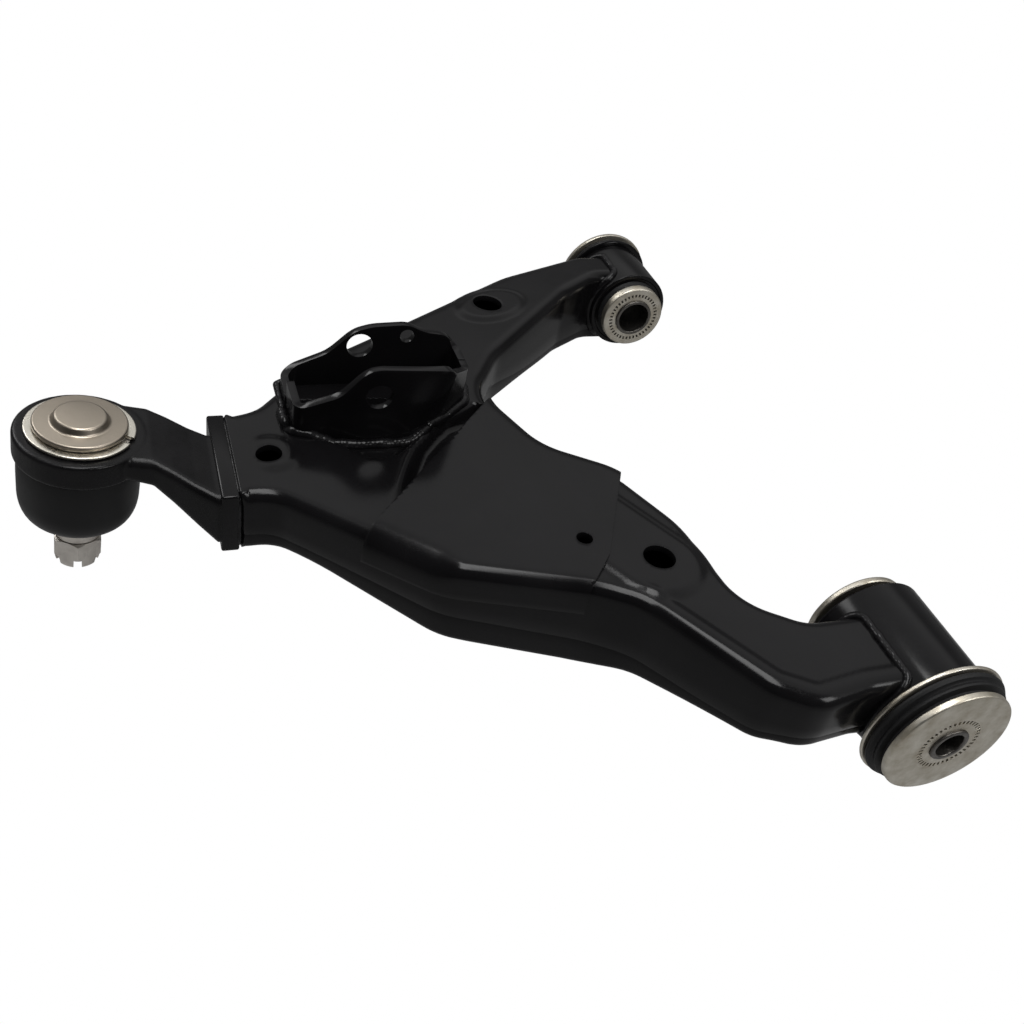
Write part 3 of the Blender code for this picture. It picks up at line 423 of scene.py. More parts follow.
def top_heights(x, y):
    """Pressed top of the upper shell: pads, recess, valley and raised front rim."""
    sizes = bpy.context.scene.arm_sizes
    pad, recess, valley = sizes.pad / MM, sizes.recess / MM, sizes.valley / MM
    z = np.full(np.shape(x), TOP)
    z += pad * (1 - eased((away(x, y, ((67, 110), (104, 131))) - 20.5) / 6.5))
    along, across = (x - 312) * 0.5 - (y - 119) * 0.866, (x - 312) * 0.866 + (y - 119) * 0.5
    z += 0.9 * pad * (1 - eased((np.hypot(along / 27, across / 16) - 0.84) / 0.26))
    z += 0.6 * pad * (1 - eased((np.hypot(x - 170, y - 281) - 11) / 5)) * eased((290 - y) / 10)
    hollow = np.array(RECESS_ARC + ((212, 196), (214, 264)), float)
    z -= recess * eased(away(x, y, RECESS_ARC) / 6) * within(x, y, hollow)
    trough = np.array(VALLEY + PLATE_FAR[::-1], float)
    deep = valley * eased(away(x, y, VALLEY) / 9) * eased(away(x, y, PLATE_FAR) / 9)
    z -= deep * eased(np.hypot(x - 116, y - 236) / 50) * within(x, y, trough)
    z += 0.7 * (1 - eased((away(x, y, FRONT_CREASE) - 10) / 3)) * eased((128 - y) / 12)
    return z


def arm_plan(outward=0.0, spacing=1.9):
    """Even points of the arm's plan and the inward directions at them."""
    plan = evened(rounded(PLAN, step=radians(4)), spacing)
    along = np.roll(plan, -1, axis=0) - np.roll(plan, 1, axis=0)
    inward = np.stack([-along[:, 1], along[:, 0]], axis=1) / np.linalg.norm(along, axis=1)[:, None]
    return plan - inward * outward, inward


def filled(loops, spacing):
    """Even triangles inside the first loop and outside the others: points, triangles, order of each loop."""
    rims = np.vstack(loops)
    low, high = loops[0].min(0), loops[0].max(0)
    rows = np.arange(low[1], high[1], spacing * 0.866)
    grid = np.array([(x + (k % 2) * spacing / 2, y) for k, y in enumerate(rows)
                     for x in np.arange(low[0], high[0], spacing)])
    keep = within(grid[:, 0], grid[:, 1], loops[0])
    for loop in loops[1:]:
        keep &= ~within(grid[:, 0], grid[:, 1], loop)
    grid = grid[keep]
    for loop in loops:
        closed = [tuple(p) for p in loop] + [tuple(loop[0])]
        grid = grid[away(grid[:, 0], grid[:, 1], closed) > 0.62 * spacing]
    points = np.vstack([rims, grid])
    edges, start = [], 0
    for loop in loops:
        edges += [(start + k, start + (k + 1) % len(loop)) for k in range(len(loop))]
        start += len(loop)
    verts, _, faces, sources, _, _ = delaunay_2d_cdt([Vector(p) for p in points], edges, [], 0, 1e-5)
    verts = np.array([tuple(v) for v in verts])
    faces = np.array([tuple(f) for f in faces])
    middle = verts[faces].mean(axis=1)
    inside = within(middle[:, 0], middle[:, 1], loops[0])
    for loop in loops[1:]:
        inside &= ~within(middle[:, 0], middle[:, 1], loop)
    found = {source: k for k, group in enumerate(sources) for source in group}
    orders, start = [], 0
    for loop in loops:
        orders.append([found[start + k] for k in range(len(loop))])
        start += len(loop)
    return verts, [tuple(int(i) for i in f) for f in faces[inside]], orders


def skin(verts, plan, inward, bend, cap, rim, side, holes, spacing, walls, bends=7):
    """One skin of a pressing: a cap over the plan, bent over at its edge, with a skirt to the rim."""
    border = plan + inward * bend[:, None]
    circle = np.linspace(0, 2 * pi, 40, endpoint=False)
    rings = [np.stack([x + r * np.cos(circle), y + r * np.sin(circle)], axis=1) for x, y, r in holes]
    flat, faces, orders = filled([border] + rings, spacing)
    start = len(verts)
    faces = [tuple(start + i for i in face) for face in faces]
    orders = [[start + i for i in order] for order in orders]
    heights = cap(flat[:, 0], flat[:, 1])
    verts += [(x, y, z) for (x, y), z in zip(flat, heights)]
    edge_height = np.array([verts[i][2] for i in orders[0]])
    rows = [orders[0]]
    for k in range(1, bends + 1):
        angle = pi / 2 * k / bends
        place = plan + inward * (bend * (1 - sin(angle)))[:, None]
        drop = edge_height - side * bend * (1 - cos(angle))
        rows.append(list(range(len(verts), len(verts) + len(plan))))
        verts += [(x, y, z) for (x, y), z in zip(place, drop)]
    low = edge_height - side * bend
    for k in range(1, walls + 1):
        height = low + (rim - low) * k / walls
        rows.append(list(range(len(verts), len(verts) + len(plan))))
        verts += [(x, y, z) for (x, y), z in zip(plan, height)]
    for near, far in zip(rows, rows[1:]):
        faces += strip(near, far)
    return faces, [rows[-1]] + orders[1:]


def strip(near, far):
    """Faces between two closed rows of the same count."""
    return [(near[i - 1], far[i - 1], far[i], near[i]) for i in range(len(near))]


def pressed(name, plan, inward, bend, cap, rim, side, holes=(), sheet=0.0, spacing=2.0, walls=3):
    """Pressing with an outer skin and, where it has a thickness, an inner one joined to it at the rims."""
    verts = []
    faces, edges = skin(verts, plan, inward, bend, cap, rim, side, holes, spacing, walls)
    if sheet:
        def under(x, y):
            return cap(x, y) - side * sheet

        tight = np.maximum(bend - sheet, 0.8)
        inset = plan + inward * sheet
        inner, rims = skin(verts, inset, inward, tight, under, rim, side, holes, spacing, walls)
        faces += inner
        for near, far in zip(edges, rims):
            faces += strip(near, far)
    made = sheet_mesh(name, verts, faces)
    pick(made)
    bpy.ops.object.mode_set(mode='EDIT')
    bpy.ops.mesh.select_all(action='SELECT')
    bpy.ops.mesh.normals_make_consistent(inside=False)
    bpy.ops.object.mode_set(mode='OBJECT')
    return made


# Finishes

def add(tree, kind, **settings):
    node = tree.nodes.new(kind)
    for key, value in settings.items():
        setattr(node, key, value)
    return node


def grain_group():
    """Fine grain and broad drift over an object's own coordinates."""
    group = bpy.data.node_groups.new("Surface grain", 'ShaderNodeTree')
    for name, value in (("Fine Scale", 700.0), ("Broad Scale", 25.0)):
        socket = group.interface.new_socket(name, in_out='INPUT', socket_type='NodeSocketFloat')
        socket.default_value = value
    for name in ("Fine", "Broad", "Mixed"):
        group.interface.new_socket(name, in_out='OUTPUT', socket_type='NodeSocketFloat')
    inputs, outputs = add(group, 'NodeGroupInput'), add(group, 'NodeGroupOutput')
    place = add(group, 'ShaderNodeTexCoord')
    mixed = add(group, 'ShaderNodeMath', operation='MULTIPLY')
    for name, detail in (("Fine", 3.0), ("Broad", 5.0)):
        texture = add(group, 'ShaderNodeTexNoise')
        texture.inputs["Detail"].default_value = detail
        texture.inputs["Roughness"].default_value = 0.6
        group.links.new(place.outputs["Object"], texture.inputs["Vector"])
        group.links.new(inputs.outputs[name + " Scale"], texture.inputs["Scale"])
        group.links.new(texture.outputs["Fac"], outputs.inputs[name])
        group.links.new(texture.outputs["Fac"], mixed.inputs[0 if name == "Fine" else 1])
    group.links.new(mixed.outputs[0], outputs.inputs["Mixed"])
    return group


def ring_group():
    """Fine turning lines round a bush axis or the ball axis."""
    group = bpy.data.node_groups.new("Turning lines", 'ShaderNodeTree')
    fineness = group.interface.new_socket("Fineness", in_out='INPUT', socket_type='NodeSocketFloat')
    fineness.default_value = 900.0
    group.interface.new_socket("Lines", in_out='OUTPUT', socket_type='NodeSocketFloat')
    inputs, outputs = add(group, 'NodeGroupInput'), add(group, 'NodeGroupOutput')
    place = add(group, 'ShaderNodeTexCoord')
    flatten = add(group, 'ShaderNodeVectorMath', operation='MULTIPLY')
    flatten.inputs[1].default_value = (0, 1, 1)
    radius = add(group, 'ShaderNodeVectorMath', operation='LENGTH')
    lines = add(group, 'ShaderNodeTexNoise', noise_dimensions='1D')
    lines.inputs["Detail"].default_value = 2.0
    group.links.new(place.outputs["Object"], flatten.inputs[0])
    group.links.new(flatten.outputs[0], radius.inputs[0])
    group.links.new(radius.outputs["Value"], lines.inputs["W"])
    group.links.new(inputs.outputs["Fineness"], lines.inputs["Scale"])
    group.links.new(lines.outputs["Fac"], outputs.inputs["Lines"])
    return group


def finish(name, colour, second, rough, fine, broad, bump, metallic=0.0, specular=0.5, lines=0.0):
    """Procedural finish: two colours mixed by drift, roughness by grain, and a grain bump in millimetres."""
    made = bpy.data.materials.new(name)
    made.use_nodes = True
    tree = made.node_tree
    shader = tree.nodes["Principled BSDF"]
    shader.inputs["Metallic"].default_value = metallic
    shader.inputs["Specular IOR Level"].default_value = specular
    grain = add(tree, 'ShaderNodeGroup', node_tree=bpy.data.node_groups["Surface grain"])
    grain.inputs["Fine Scale"].default_value = fine
    grain.inputs["Broad Scale"].default_value = broad
    drift = add(tree, 'ShaderNodeMapRange')
    drift.inputs["From Min"].default_value = 0.32
    drift.inputs["From Max"].default_value = 0.68
    tree.links.new(grain.outputs["Broad"], drift.inputs["Value"])
    mix = add(tree, 'ShaderNodeMix', data_type='RGBA')
    mix.inputs["A"].default_value = colour
    mix.inputs["B"].default_value = second
    tree.links.new(drift.outputs["Result"], mix.inputs["Factor"])
    tree.links.new(mix.outputs["Result"], shader.inputs["Base Color"])
    spread = add(tree, 'ShaderNodeMapRange')
    spread.inputs["From Min"].default_value = 0.1
    spread.inputs["From Max"].default_value = 0.45
    spread.inputs["To Min"].default_value = rough[0]
    spread.inputs["To Max"].default_value = rough[1]
    tree.links.new(grain.outputs["Mixed"], spread.inputs["Value"])
    tree.links.new(spread.outputs["Result"], shader.inputs["Roughness"])
    height = grain.outputs["Fine"]
    if lines:
        rings = add(tree, 'ShaderNodeGroup', node_tree=bpy.data.node_groups["Turning lines"])
        rings.inputs["Fineness"].default_value = lines
        total = add(tree, 'ShaderNodeMath', operation='ADD')
        tree.links.new(height, total.inputs[0])
        tree.links.new(rings.outputs["Lines"], total.inputs[1])
        height = total.outputs[0]
    relief = add(tree, 'ShaderNodeBump')
    relief.inputs["Strength"].default_value = 0.6
    relief.inputs["Distance"].default_value = bump * MM
    tree.links.new(height, relief.inputs["Height"])
    tree.links.new(relief.outputs["Normal"], shader.inputs["Normal"])
    return made


def shaded(colour, factor):
    return tuple(min(1, c * factor) for c in colour[:3]) + (1,)


def make_finishes():
    """Every finish by name, made once."""
    grain_group()
    ring_group()
    c = bpy.context.scene.arm_finish
    finish("Dip paint", c.paint, shaded(c.paint, 1.9), (0.13, 0.22), 900, 18, 0.008, specular=0.14)
    finish("Forged paint", c.paint, shaded(c.paint, 2.2), (0.24, 0.38), 420, 40, 0.05, specular=0.13)
    finish("Weld paint", c.paint, shaded(c.paint, 2.6), (0.16, 0.3), 600, 90, 0.012, specular=0.16)
    finish("Bush rubber", c.rubber, shaded(c.rubber, 1.8), (0.50, 0.68), 1200, 30, 0.03, specular=0.22)
    finish("Boot rubber", c.rubber, shaded(c.rubber, 1.5), (0.30, 0.42), 1500, 25, 0.01, specular=0.15)
    finish("Zinc plate", c.zinc, (0.36, 0.325, 0.26, 1), (0.36, 0.52), 800, 110, 0.012,
           metallic=1.0, lines=2600)
    finish("Nickel plate", c.nickel, shaded(c.nickel, 0.9), (0.34, 0.48), 2200, 45, 0.02, metallic=1.0)
    finish("Ring steel", shaded(c.zinc, 1.25), shaded(c.zinc, 1.08), (0.24, 0.36), 1500, 60, 0.01,
           metallic=1.0)
    finish("Nut steel", c.steel, shaded(c.steel, 0.8), (0.32, 0.5), 900, 120, 0.02, metallic=1.0)
    # Inner sleeves: steel darkened to about a fifth, partly the sleeves' own dark grey and partly painted shade
    # that makes the bores read dark inside
    finish("Sleeve steel with painted bore shade", shaded(c.steel, 0.22), shaded(c.steel, 0.13), (0.34, 0.5), 900, 150,
           0.02, metallic=1.0)
    # Painted shade: near-black finish for the washers' pressed marks, standing in for the shadow inside each mark
    finish("Serration painted shade", shaded(c.steel, 0.04), shaded(c.steel, 0.08), (0.5, 0.7), 900, 200,
           0.02, specular=0.2)
    finish("Bearing nylon", c.nylon, shaded(c.nylon, 0.92), (0.4, 0.55), 900, 40, 0.01, specular=0.4)


def look(name):
    return bpy.data.materials[name]


# Pieces

class ARM_OT_pressings(bpy.types.Operator):
    """Upper and lower shells with their pressed relief, and the cover plate welded over them"""
    bl_idname = "control_arm.pressings"
    bl_label = "Pressed shells"

    def execute(self, context):
        sizes = context.scene.arm_sizes
        sheet, bend = sizes.sheet / MM, sizes.bend / MM
        plan, inward = arm_plan()
        seam = floor_heights(plan[:, 0], plan[:, 1])[1]
        at_end = eased((-inward[:, 1] - 0.4) / 0.5) * (plan[:, 1] > 290)
        bends = bend + (1.2 - bend) * at_end
        upper = pressed("upper_pressing", plan, inward, bends, top_heights, seam + 0.15, 1, HOLES, sheet)
        inner, inward = arm_plan(-0.9)
        tight = np.minimum(bends, 4.6)
        lower = pressed("lower_pressing", inner, inward, tight, lambda x, y: floor_heights(x, y)[0],
                        seam - 0.35, -1, (), sheet, 4.5, 2)
        for shell, node in ((upper, "upper_shell"), (lower, "lower_shell")):
            applied(shell, 'BEVEL', width=0.0006, segments=2, limit_method='ANGLE', angle_limit=radians(50))
            joined(shell, rod("front_seat", FRONT_SEAT, SEAT_LENGTH, FRONT, 96))
            joined(shell, rod("rear_seat", REAR_SEAT, SEAT_LENGTH, REAR, 96))
            finished(shell, look("Dip paint"), "arm", "black_paint", node, angle=40)
        self.plate()
        return {'FINISHED'}

    def plate(self):
        plan, inward = arm_plan(3.3)
        jog = eased((plan[:, 1] - 208) / 14) * (plan[:, 0] < 140)
        bends = 7.5 + 5.5 * jog
        plate = pressed("saddle_plate", plan, inward, bends, lambda x, y: np.full(np.shape(x), TOP + 3.3),
                        np.full(len(plan), 10.0), 1, (PLATE_HOLE,))
        pick(plate)
        bpy.ops.object.mode_set(mode='EDIT')
        for (ax, ay), (bx, by) in PLATE_EDGES:
            bpy.ops.mesh.select_all(action='SELECT')
            across = Vector((by - ay, ax - bx, 0)).normalized()
            if across.dot(Vector((120, 160, 0)) - Vector((ax, ay, 0))) > 0:
                across.negate()
            bpy.ops.mesh.bisect(plane_co=Vector((ax, ay, 0)) * MM, plane_no=across, clear_outer=True)
        bpy.ops.object.mode_set(mode='OBJECT')
        applied(plate, 'SOLIDIFY', thickness=0.003, offset=-1)
        applied(plate, 'BEVEL', width=0.0007, segments=2, limit_method='ANGLE', angle_limit=radians(50))
        finished(plate, look("Dip paint"), "arm", "black_paint", "cover_plate", angle=40)


class ARM_OT_shock_bracket(bpy.types.Operator):
    """Two bent walls that hold the shock absorber's eye"""
    bl_idname = "control_arm.shock_bracket"
    bl_label = "Shock bracket"

    def execute(self, context):
        self.half("bracket_front_half", "shock_bracket_front",
                  ((206.35, 268, 0), (182, 268, 8), (186, 248, 14), (180, 232, 16), (180, 206, 22),
                   (208.5, 168, 10), (216.35, 168, 0)),
                  ((206.35, 268, 0), (180, 268, 10), (180, 252, 14), (180, 240, 16), (180, 186, 12),
                   (208.5, 168, 10), (216.35, 168, 0)),
                  ((268, 43), (245, 50), (233, 64), (227, 66), (188, 64), (168, 46)))
        self.half("bracket_rear_half", "shock_bracket_rear",
                  ((216.65, 168, 0), (233, 168, 10), (233, 268, 10), (206.65, 268, 0)),
                  ((216.65, 168, 0), (233, 168, 10), (233, 268, 10), (206.65, 268, 0)),
                  ((268, 34), (242, 45), (229, 58), (219, 61), (199, 62), (189, 57), (176, 55), (168, 46)))
        return {'FINISHED'}

    def half(self, name, node, foot, head, tops):
        count, rows = 110, 22
        base = 19.0 if "front" in name else 22.5
        feet = self.spread(rounded(foot, False, radians(6)), count)
        heads = self.spread(rounded(head, False, radians(6)), count)
        stations = np.array(sorted(tops), float)
        tops = sum(np.interp(heads[:, 1] + s, stations[:, 0], stations[:, 1]) for s in (-3, -1, 1, 3)) / 4
        verts = []
        for k in range(rows + 1):
            share = k / rows
            place = feet + (heads - feet) * share
            verts += [(x, y, base + (top - base) * share) for (x, y), top in zip(place, tops)]
        faces = [(k * count + i, k * count + i + 1, (k + 1) * count + i + 1, (k + 1) * count + i)
                 for k in range(rows) for i in range(count - 1)]
        made = sheet_mesh(name, verts, faces)
        applied(made, 'SOLIDIFY', thickness=0.004, offset=-1)
        bolt = Matrix.Translation((0.2065, 0.225, 0.0495)) @ Matrix.Rotation(pi / 2, 4, 'Y')
        joined(made, rod("bolt_hole", 7.2, 90, bolt, 64))
        if "rear" in name:
            locate = Matrix.Translation((0.231, 0.199, 0.055)) @ Matrix.Rotation(pi / 2, 4, 'Y')
            joined(made, rod("locating_hole", 4, 20, locate, 48))
        applied(made, 'BEVEL', width=0.0008, segments=3, limit_method='ANGLE', angle_limit=radians(50))
        return finished(made, look("Dip paint"), "arm", "black_paint", node)

    def spread(self, points, count):
        line = np.array(points, float)
        along = np.concatenate([[0], np.cumsum(np.linalg.norm(np.diff(line, axis=0), axis=1))])
        marks = np.linspace(0, along[-1], count)
        return np.stack([np.interp(marks, along, line[:, k]) for k in (0, 1)], axis=1)


class ARM_OT_outer_end(bpy.types.Operator):
    """End plate and the forged neck and eye that carry the ball joint"""
    bl_idname = "control_arm.outer_end"
    bl_label = "Outer end"

    def execute(self, context):
        plate = block("outer_end_plate", *END_PLATE)
        applied(plate, 'BEVEL', width=0.0012, segments=3)
        finished(plate, look("Dip paint"), "arm", "black_paint", "end_plate")
        neck = self.neck(NECK)
        eye = turned("eye", rounded(EYE, True), BALL)
        joined(neck, eye, 'UNION')
        joined(neck, rod("eye_bore", EYE_BORE, 60, BALL @ Matrix.Translation((0, 0, 0.018)), 96))
        applied(neck, 'REMESH', mode='VOXEL', voxel_size=0.0007)
        applied(neck, 'SMOOTH', factor=0.5, iterations=4)
        finished(neck, look("Forged paint"), "arm", "black_paint", "ball_joint_bracket", angle=60)
        return {'FINISHED'}

    def neck(self, sections):
        """Bar through rounded rectangles at y, from x0, x1, z0, z1."""
        verts, faces, per = [], [], 0
        for y, x0, x1, z0, z1 in sections:
            loop = rounded(((x0, z0, 4), (x1, z0, 4), (x1, z1, 5), (x0, z1, 5)), True, radians(15))
            per = len(loop)
            verts += [(x, y, z) for x, z in loop]
        count = len(sections)
        for k in range(count - 1):
            for i in range(per):
                j = (i + 1) % per
                faces.append((k * per + i, (k + 1) * per + i, (k + 1) * per + j, k * per + j))
        faces.append(tuple(range(per)))
        faces.append(tuple(range((count - 1) * per, count * per))[::-1])
        made = sheet_mesh("forged_bracket", verts, faces)
        pick(made)
        bpy.ops.object.mode_set(mode='EDIT')
        bpy.ops.mesh.select_all(action='SELECT')
        bpy.ops.mesh.normals_make_consistent(inside=False)
        bpy.ops.object.mode_set(mode='OBJECT')
        return made


class ARM_OT_ball_joint(bpy.types.Operator):
    """Cap, retaining ring, dust boot, collar, stud and castle nut of the ball joint"""
    bl_idname = "control_arm.ball_joint"
    bl_label = "Ball joint"

    def execute(self, context):
        cap = turned("joint_cap", rounded(CAP), BALL, 96)
        finished(cap, look("Nickel plate"), "arm", "nickel", "housing_cap")
        ring = turned("retaining_ring", rounded(RING), BALL, 96)
        mouth = block("ring_mouth", *RING_MOUTH)
        placed(mouth, BALL @ Matrix.Rotation(RING_TURN, 4, 'Z'))
        joined(ring, mouth)
        applied(ring, 'BEVEL', width=0.0003, segments=2, limit_method='ANGLE', angle_limit=radians(60))
        finished(ring, look("Ring steel"), "arm", "nickel", "snap_ring")
        wall = BOOT_WALL
        upper = turned("boot_upper", [(28.1, 11.6), (28.4, 8), (28.5, 2), (28.4, -4), (28.3, BOOT_WAIST),
                                      (28.3 - wall, BOOT_WAIST), (28.4 - wall, -2), (28.1 - wall, 11.6)], BALL, 96)
        angles = np.linspace(0, pi / 2 - 0.05, 14)
        outer = [(13.8 + 14.5 * cos(a) ** 0.5, BOOT_WAIST - BOOT_DEPTH * sin(a)) for a in angles]
        inner = [(max(12.6, r - wall * cos(a)), z + wall * sin(a)) for (r, z), a in zip(outer, angles)]
        lower = turned("boot_lower", outer + [(12.6, -24.6)] + inner[::-1], BALL, 96)
        for boot, nodes in ((upper, ("dust_boot",)), (lower, ())):
            finished(boot, look("Boot rubber"), None, "rubber", *nodes, angle=40)
        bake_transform(upper)
        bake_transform(lower)
        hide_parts("dust_boot")
        collar = turned("collar", rounded(COLLAR), BALL, 72)
        finished(collar, look("Nut steel"), "stud_rock_part", "steel", "boot_collar")
        self.stud()
        self.nut()
        return {'FINISHED'}

    def stud(self):
        ball = [(BALL_RADIUS * sin(a), BALL_RADIUS * cos(a)) for a in np.linspace(0, radians(150), 22)]
        ball[0] = (0, BALL_RADIUS)
        thread = []
        for k in range(THREADS):
            crest = THREAD_TOP - THREAD_PITCH * k
            thread += [(7.0, crest), (6.2, crest - THREAD_PITCH / 2)]
        line = ball + [(7.2, -15), (7.6, -18.5), (12.4, -20), (10.85, -37.6), (10.4, -38.0), (7.0, -38.2)]
        line += thread + [(6.0, -53.4), (5.6, -53.6), (0, -53.6)]
        stud = turned("taper_stud", line, BALL, 64)
        finished(stud, look("Nut steel"), "stud", "steel", "ball_stud")

    def nut(self):
        corner = NUT_ACROSS_FLATS / sqrt(3)
        place = BALL @ Matrix.Translation((0, 0, NUT_MIDDLE * MM))
        nut = rod("slotted_nut", corner, NUT_HEIGHT, place @ Matrix.Rotation(pi / 6, 4, 'Z'), 6)
        chamfers = turned("chamfers", NUT_TURNING, BALL, 72)
        joined(nut, chamfers, 'INTERSECT')
        joined(nut, rod("nut_bore", 7.15, 40, place, 48))
        for k in range(3):
            slot = block("slot", *NUT_SLOT)
            joined(nut, placed(slot, BALL @ Matrix.Rotation(pi / 3 * k, 4, 'Z')))
        applied(nut, 'BEVEL', width=0.00025, segments=2, limit_method='ANGLE', angle_limit=radians(28))
        finished(nut, look("Nut steel"), "stud", "steel", "castle_nut", angle=30)


class ARM_OT_bushes(bpy.types.Operator):
    """Tubes, sleeves, ridged rubber and serrated washers of the two pivot bushes"""
    bl_idname = "control_arm.bushes"
    bl_label = "Pivot bushes"

    def execute(self, context):
        pieces = (
            ("front_tube", FRONT_TUBE, FRONT, 96, "Dip paint", "arm", "black_paint"),
            ("rear_tube", REAR_TUBE, REAR, 96, "Dip paint", "arm", "black_paint"),
            ("front_outer_sleeve", FRONT_SLEEVE, FRONT, 96, "Zinc plate", "arm", "zinc"),
            ("rear_outer_sleeve", REAR_SLEEVE, REAR, 96, "Dip paint", "arm", "black_paint"),
            # The inner sleeves wear the darkened steel: their own dark grey plus painted shade in the bores
            ("front_inner_sleeve", FRONT_CORE, FRONT, 72, "Sleeve steel with painted bore shade", "bush_cores", "steel"),
            ("rear_inner_sleeve", REAR_CORE, REAR, 72, "Sleeve steel with painted bore shade", "bush_cores", "steel"),
        )
        for name, profile, place, steps, material, body, slot in pieces:
            piece = turned(name, rounded(profile), place, steps)
            finished(piece, look(material), body, slot, self.node(name))
        for name, sizes in WASHERS.items():
            self.washer(name, *sizes)
        for name, profile, place in (("front_rubber", FRONT_RUBBER, FRONT), ("rear_rubber", REAR_RUBBER, REAR)):
            finished(turned(name, profile, place, 96), look("Bush rubber"), "arm", "rubber", self.node(name))
        return {'FINISHED'}

    def node(self, name):
        """CAD node that a bush piece stands for."""
        return name.replace("front_", "front_bush_").replace("rear_", "rear_bush_")

    def washer(self, name, place, bore, radius, face, back, side, ring_in, ring_out):
        """Washer with a ring of pressed marks on its outer face; the marks get a near-black finish as painted
        shade.
        """
        settings = bpy.context.scene.bush_sizes
        flat = radius - WASHER_EDGE
        line = [(bore, face), (ring_in, face), (ring_out, face), (flat, face)]
        line += [(flat + WASHER_EDGE * sin(a), face - side * WASHER_EDGE * (1 - cos(a)))
                 for a in (pi / 6, pi / 3, pi / 2)]
        line += [(radius, back + side * 0.5), (radius - 0.5, back), (bore, back)]
        washer = turned(name, line, place, 2 * settings.serrations)
        outward = (place.to_3x3() @ Vector((0, 0, side))).normalized()
        low, high = (ring_in + 0.2) * MM, (ring_out - 0.2) * MM
        origin = place.translation
        height = side * face * MM
        pick(washer)
        bpy.ops.object.mode_set(mode='EDIT')
        bpy.ops.mesh.select_mode(type='FACE')
        bpy.ops.mesh.select_all(action='DESELECT')
        edit = bmesh.from_edit_mesh(washer.data)
        for tile in edit.faces:
            spoke = tile.calc_center_median() - origin
            on_face = abs(spoke.dot(outward) - height) < 0.0001
            spoke -= outward * spoke.dot(outward)
            turn = np.arctan2(spoke.z, spoke.y) / pi * settings.serrations
            on_ring = abs(tile.normal.dot(outward)) > 0.99 and low < spoke.length < high
            tile.select_set(bool(on_ring and on_face and int(np.floor(turn)) % 2 == 0))
        bmesh.update_edit_mesh(washer.data)
        bpy.ops.mesh.inset(thickness=0.0001, depth=-settings.depth, use_individual=True)
        bpy.ops.mesh.select_mode(type='VERT')
        bpy.ops.object.mode_set(mode='OBJECT')
        marks = [polygon.index for polygon in washer.data.polygons if polygon.select]
        finished(washer, look("Zinc plate"), "bush_cores", "zinc", self.node(name))
        # The pressed marks get the near-black finish as painted shade in their recesses
        washer.data.materials.append(look("Serration painted shade"))
        for k in marks:
            washer.data.polygons[k].material_index = 1


class ARM_OT_welds(bpy.types.Operator):
    """Weld beads at the tubes, the end plate, the neck and the shock bracket"""
    bl_idname = "control_arm.welds"
    bl_label = "Welds"

    def execute(self, context):
        radius = context.scene.arm_sizes.weld / MM
        foot = evened(rounded(FOOT_WELD, False), 2, False)
        foot = [(x, y, z + 0.9) for (x, y), z in zip(foot, top_heights(foot[:, 0], foot[:, 1]))]
        front = self.saddle(-27.5, 20, -11.5, 25.2, 32.0)
        rear = self.saddle(351.5, 382.5, -23.5, 25.2, 28.1)
        beads = {
            "bracket_foot_weld": (foot, radius * 1.35, False),
            "bracket_back_weld": (BACK_WELD, radius * 0.9, False),
            "bracket_outer_seam": ([(206.5, 268, 24), (206.5, 268, 34)], 0.9, False),
            "bracket_inner_seam": ([(216.5, 168, 24), (216.5, 168, 45)], 0.9, False),
            "front_tube_weld": (front, radius * 1.05, True),
            "rear_tube_weld": (rear, radius * 1.15, True),
            "end_weld": ([(x, 300, z) for x, z in rounded(END_WELD)], radius * 0.4, True),
            "neck_weld": ([(x, 308.6, z) for x, z in rounded(NECK_WELD)], radius * 0.45, True),
        }
        for name, (line, width, closed) in beads.items():
            finished(bead(name, line, width, closed), look("Weld paint"), "arm", "black_paint", angle=60)
        return {'FINISHED'}

    def saddle(self, x0, x1, z0, z1, tube):
        """Line round a leg where it meets its tube."""
        loop = evened(rounded(((x0, z0, 6), (x1, z0, 6), (x1, z1, 6), (x0, z1, 6))), 1.5)
        return [(x, sqrt(max(1.0, tube * tube - z * z)) + 0.3, z) for x, z in loop]


class ARM_OT_inner_pieces(bpy.types.Operator):
    """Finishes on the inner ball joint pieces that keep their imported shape"""
    bl_idname = "control_arm.inner_pieces"
    bl_label = "Inner pieces"

    def execute(self, context):
        looks = {"ball_joint_housing": ("Nut steel", "steel"), "upper_ball_seat": ("Bearing nylon", "nylon"),
                 "lower_ball_seat": ("Bearing nylon", "nylon"), "ball_liner": ("Bearing nylon", "nylon"),
                 "boot_clamp_ring": ("Ring steel", "steel")}
        for node, (material, slot) in looks.items():
            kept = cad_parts[node]
            for k in range(len(kept.material_slots)):
                kept.material_slots[k].link = 'OBJECT'
                kept.material_slots[k].material = look(material)
        return {'FINISHED'}


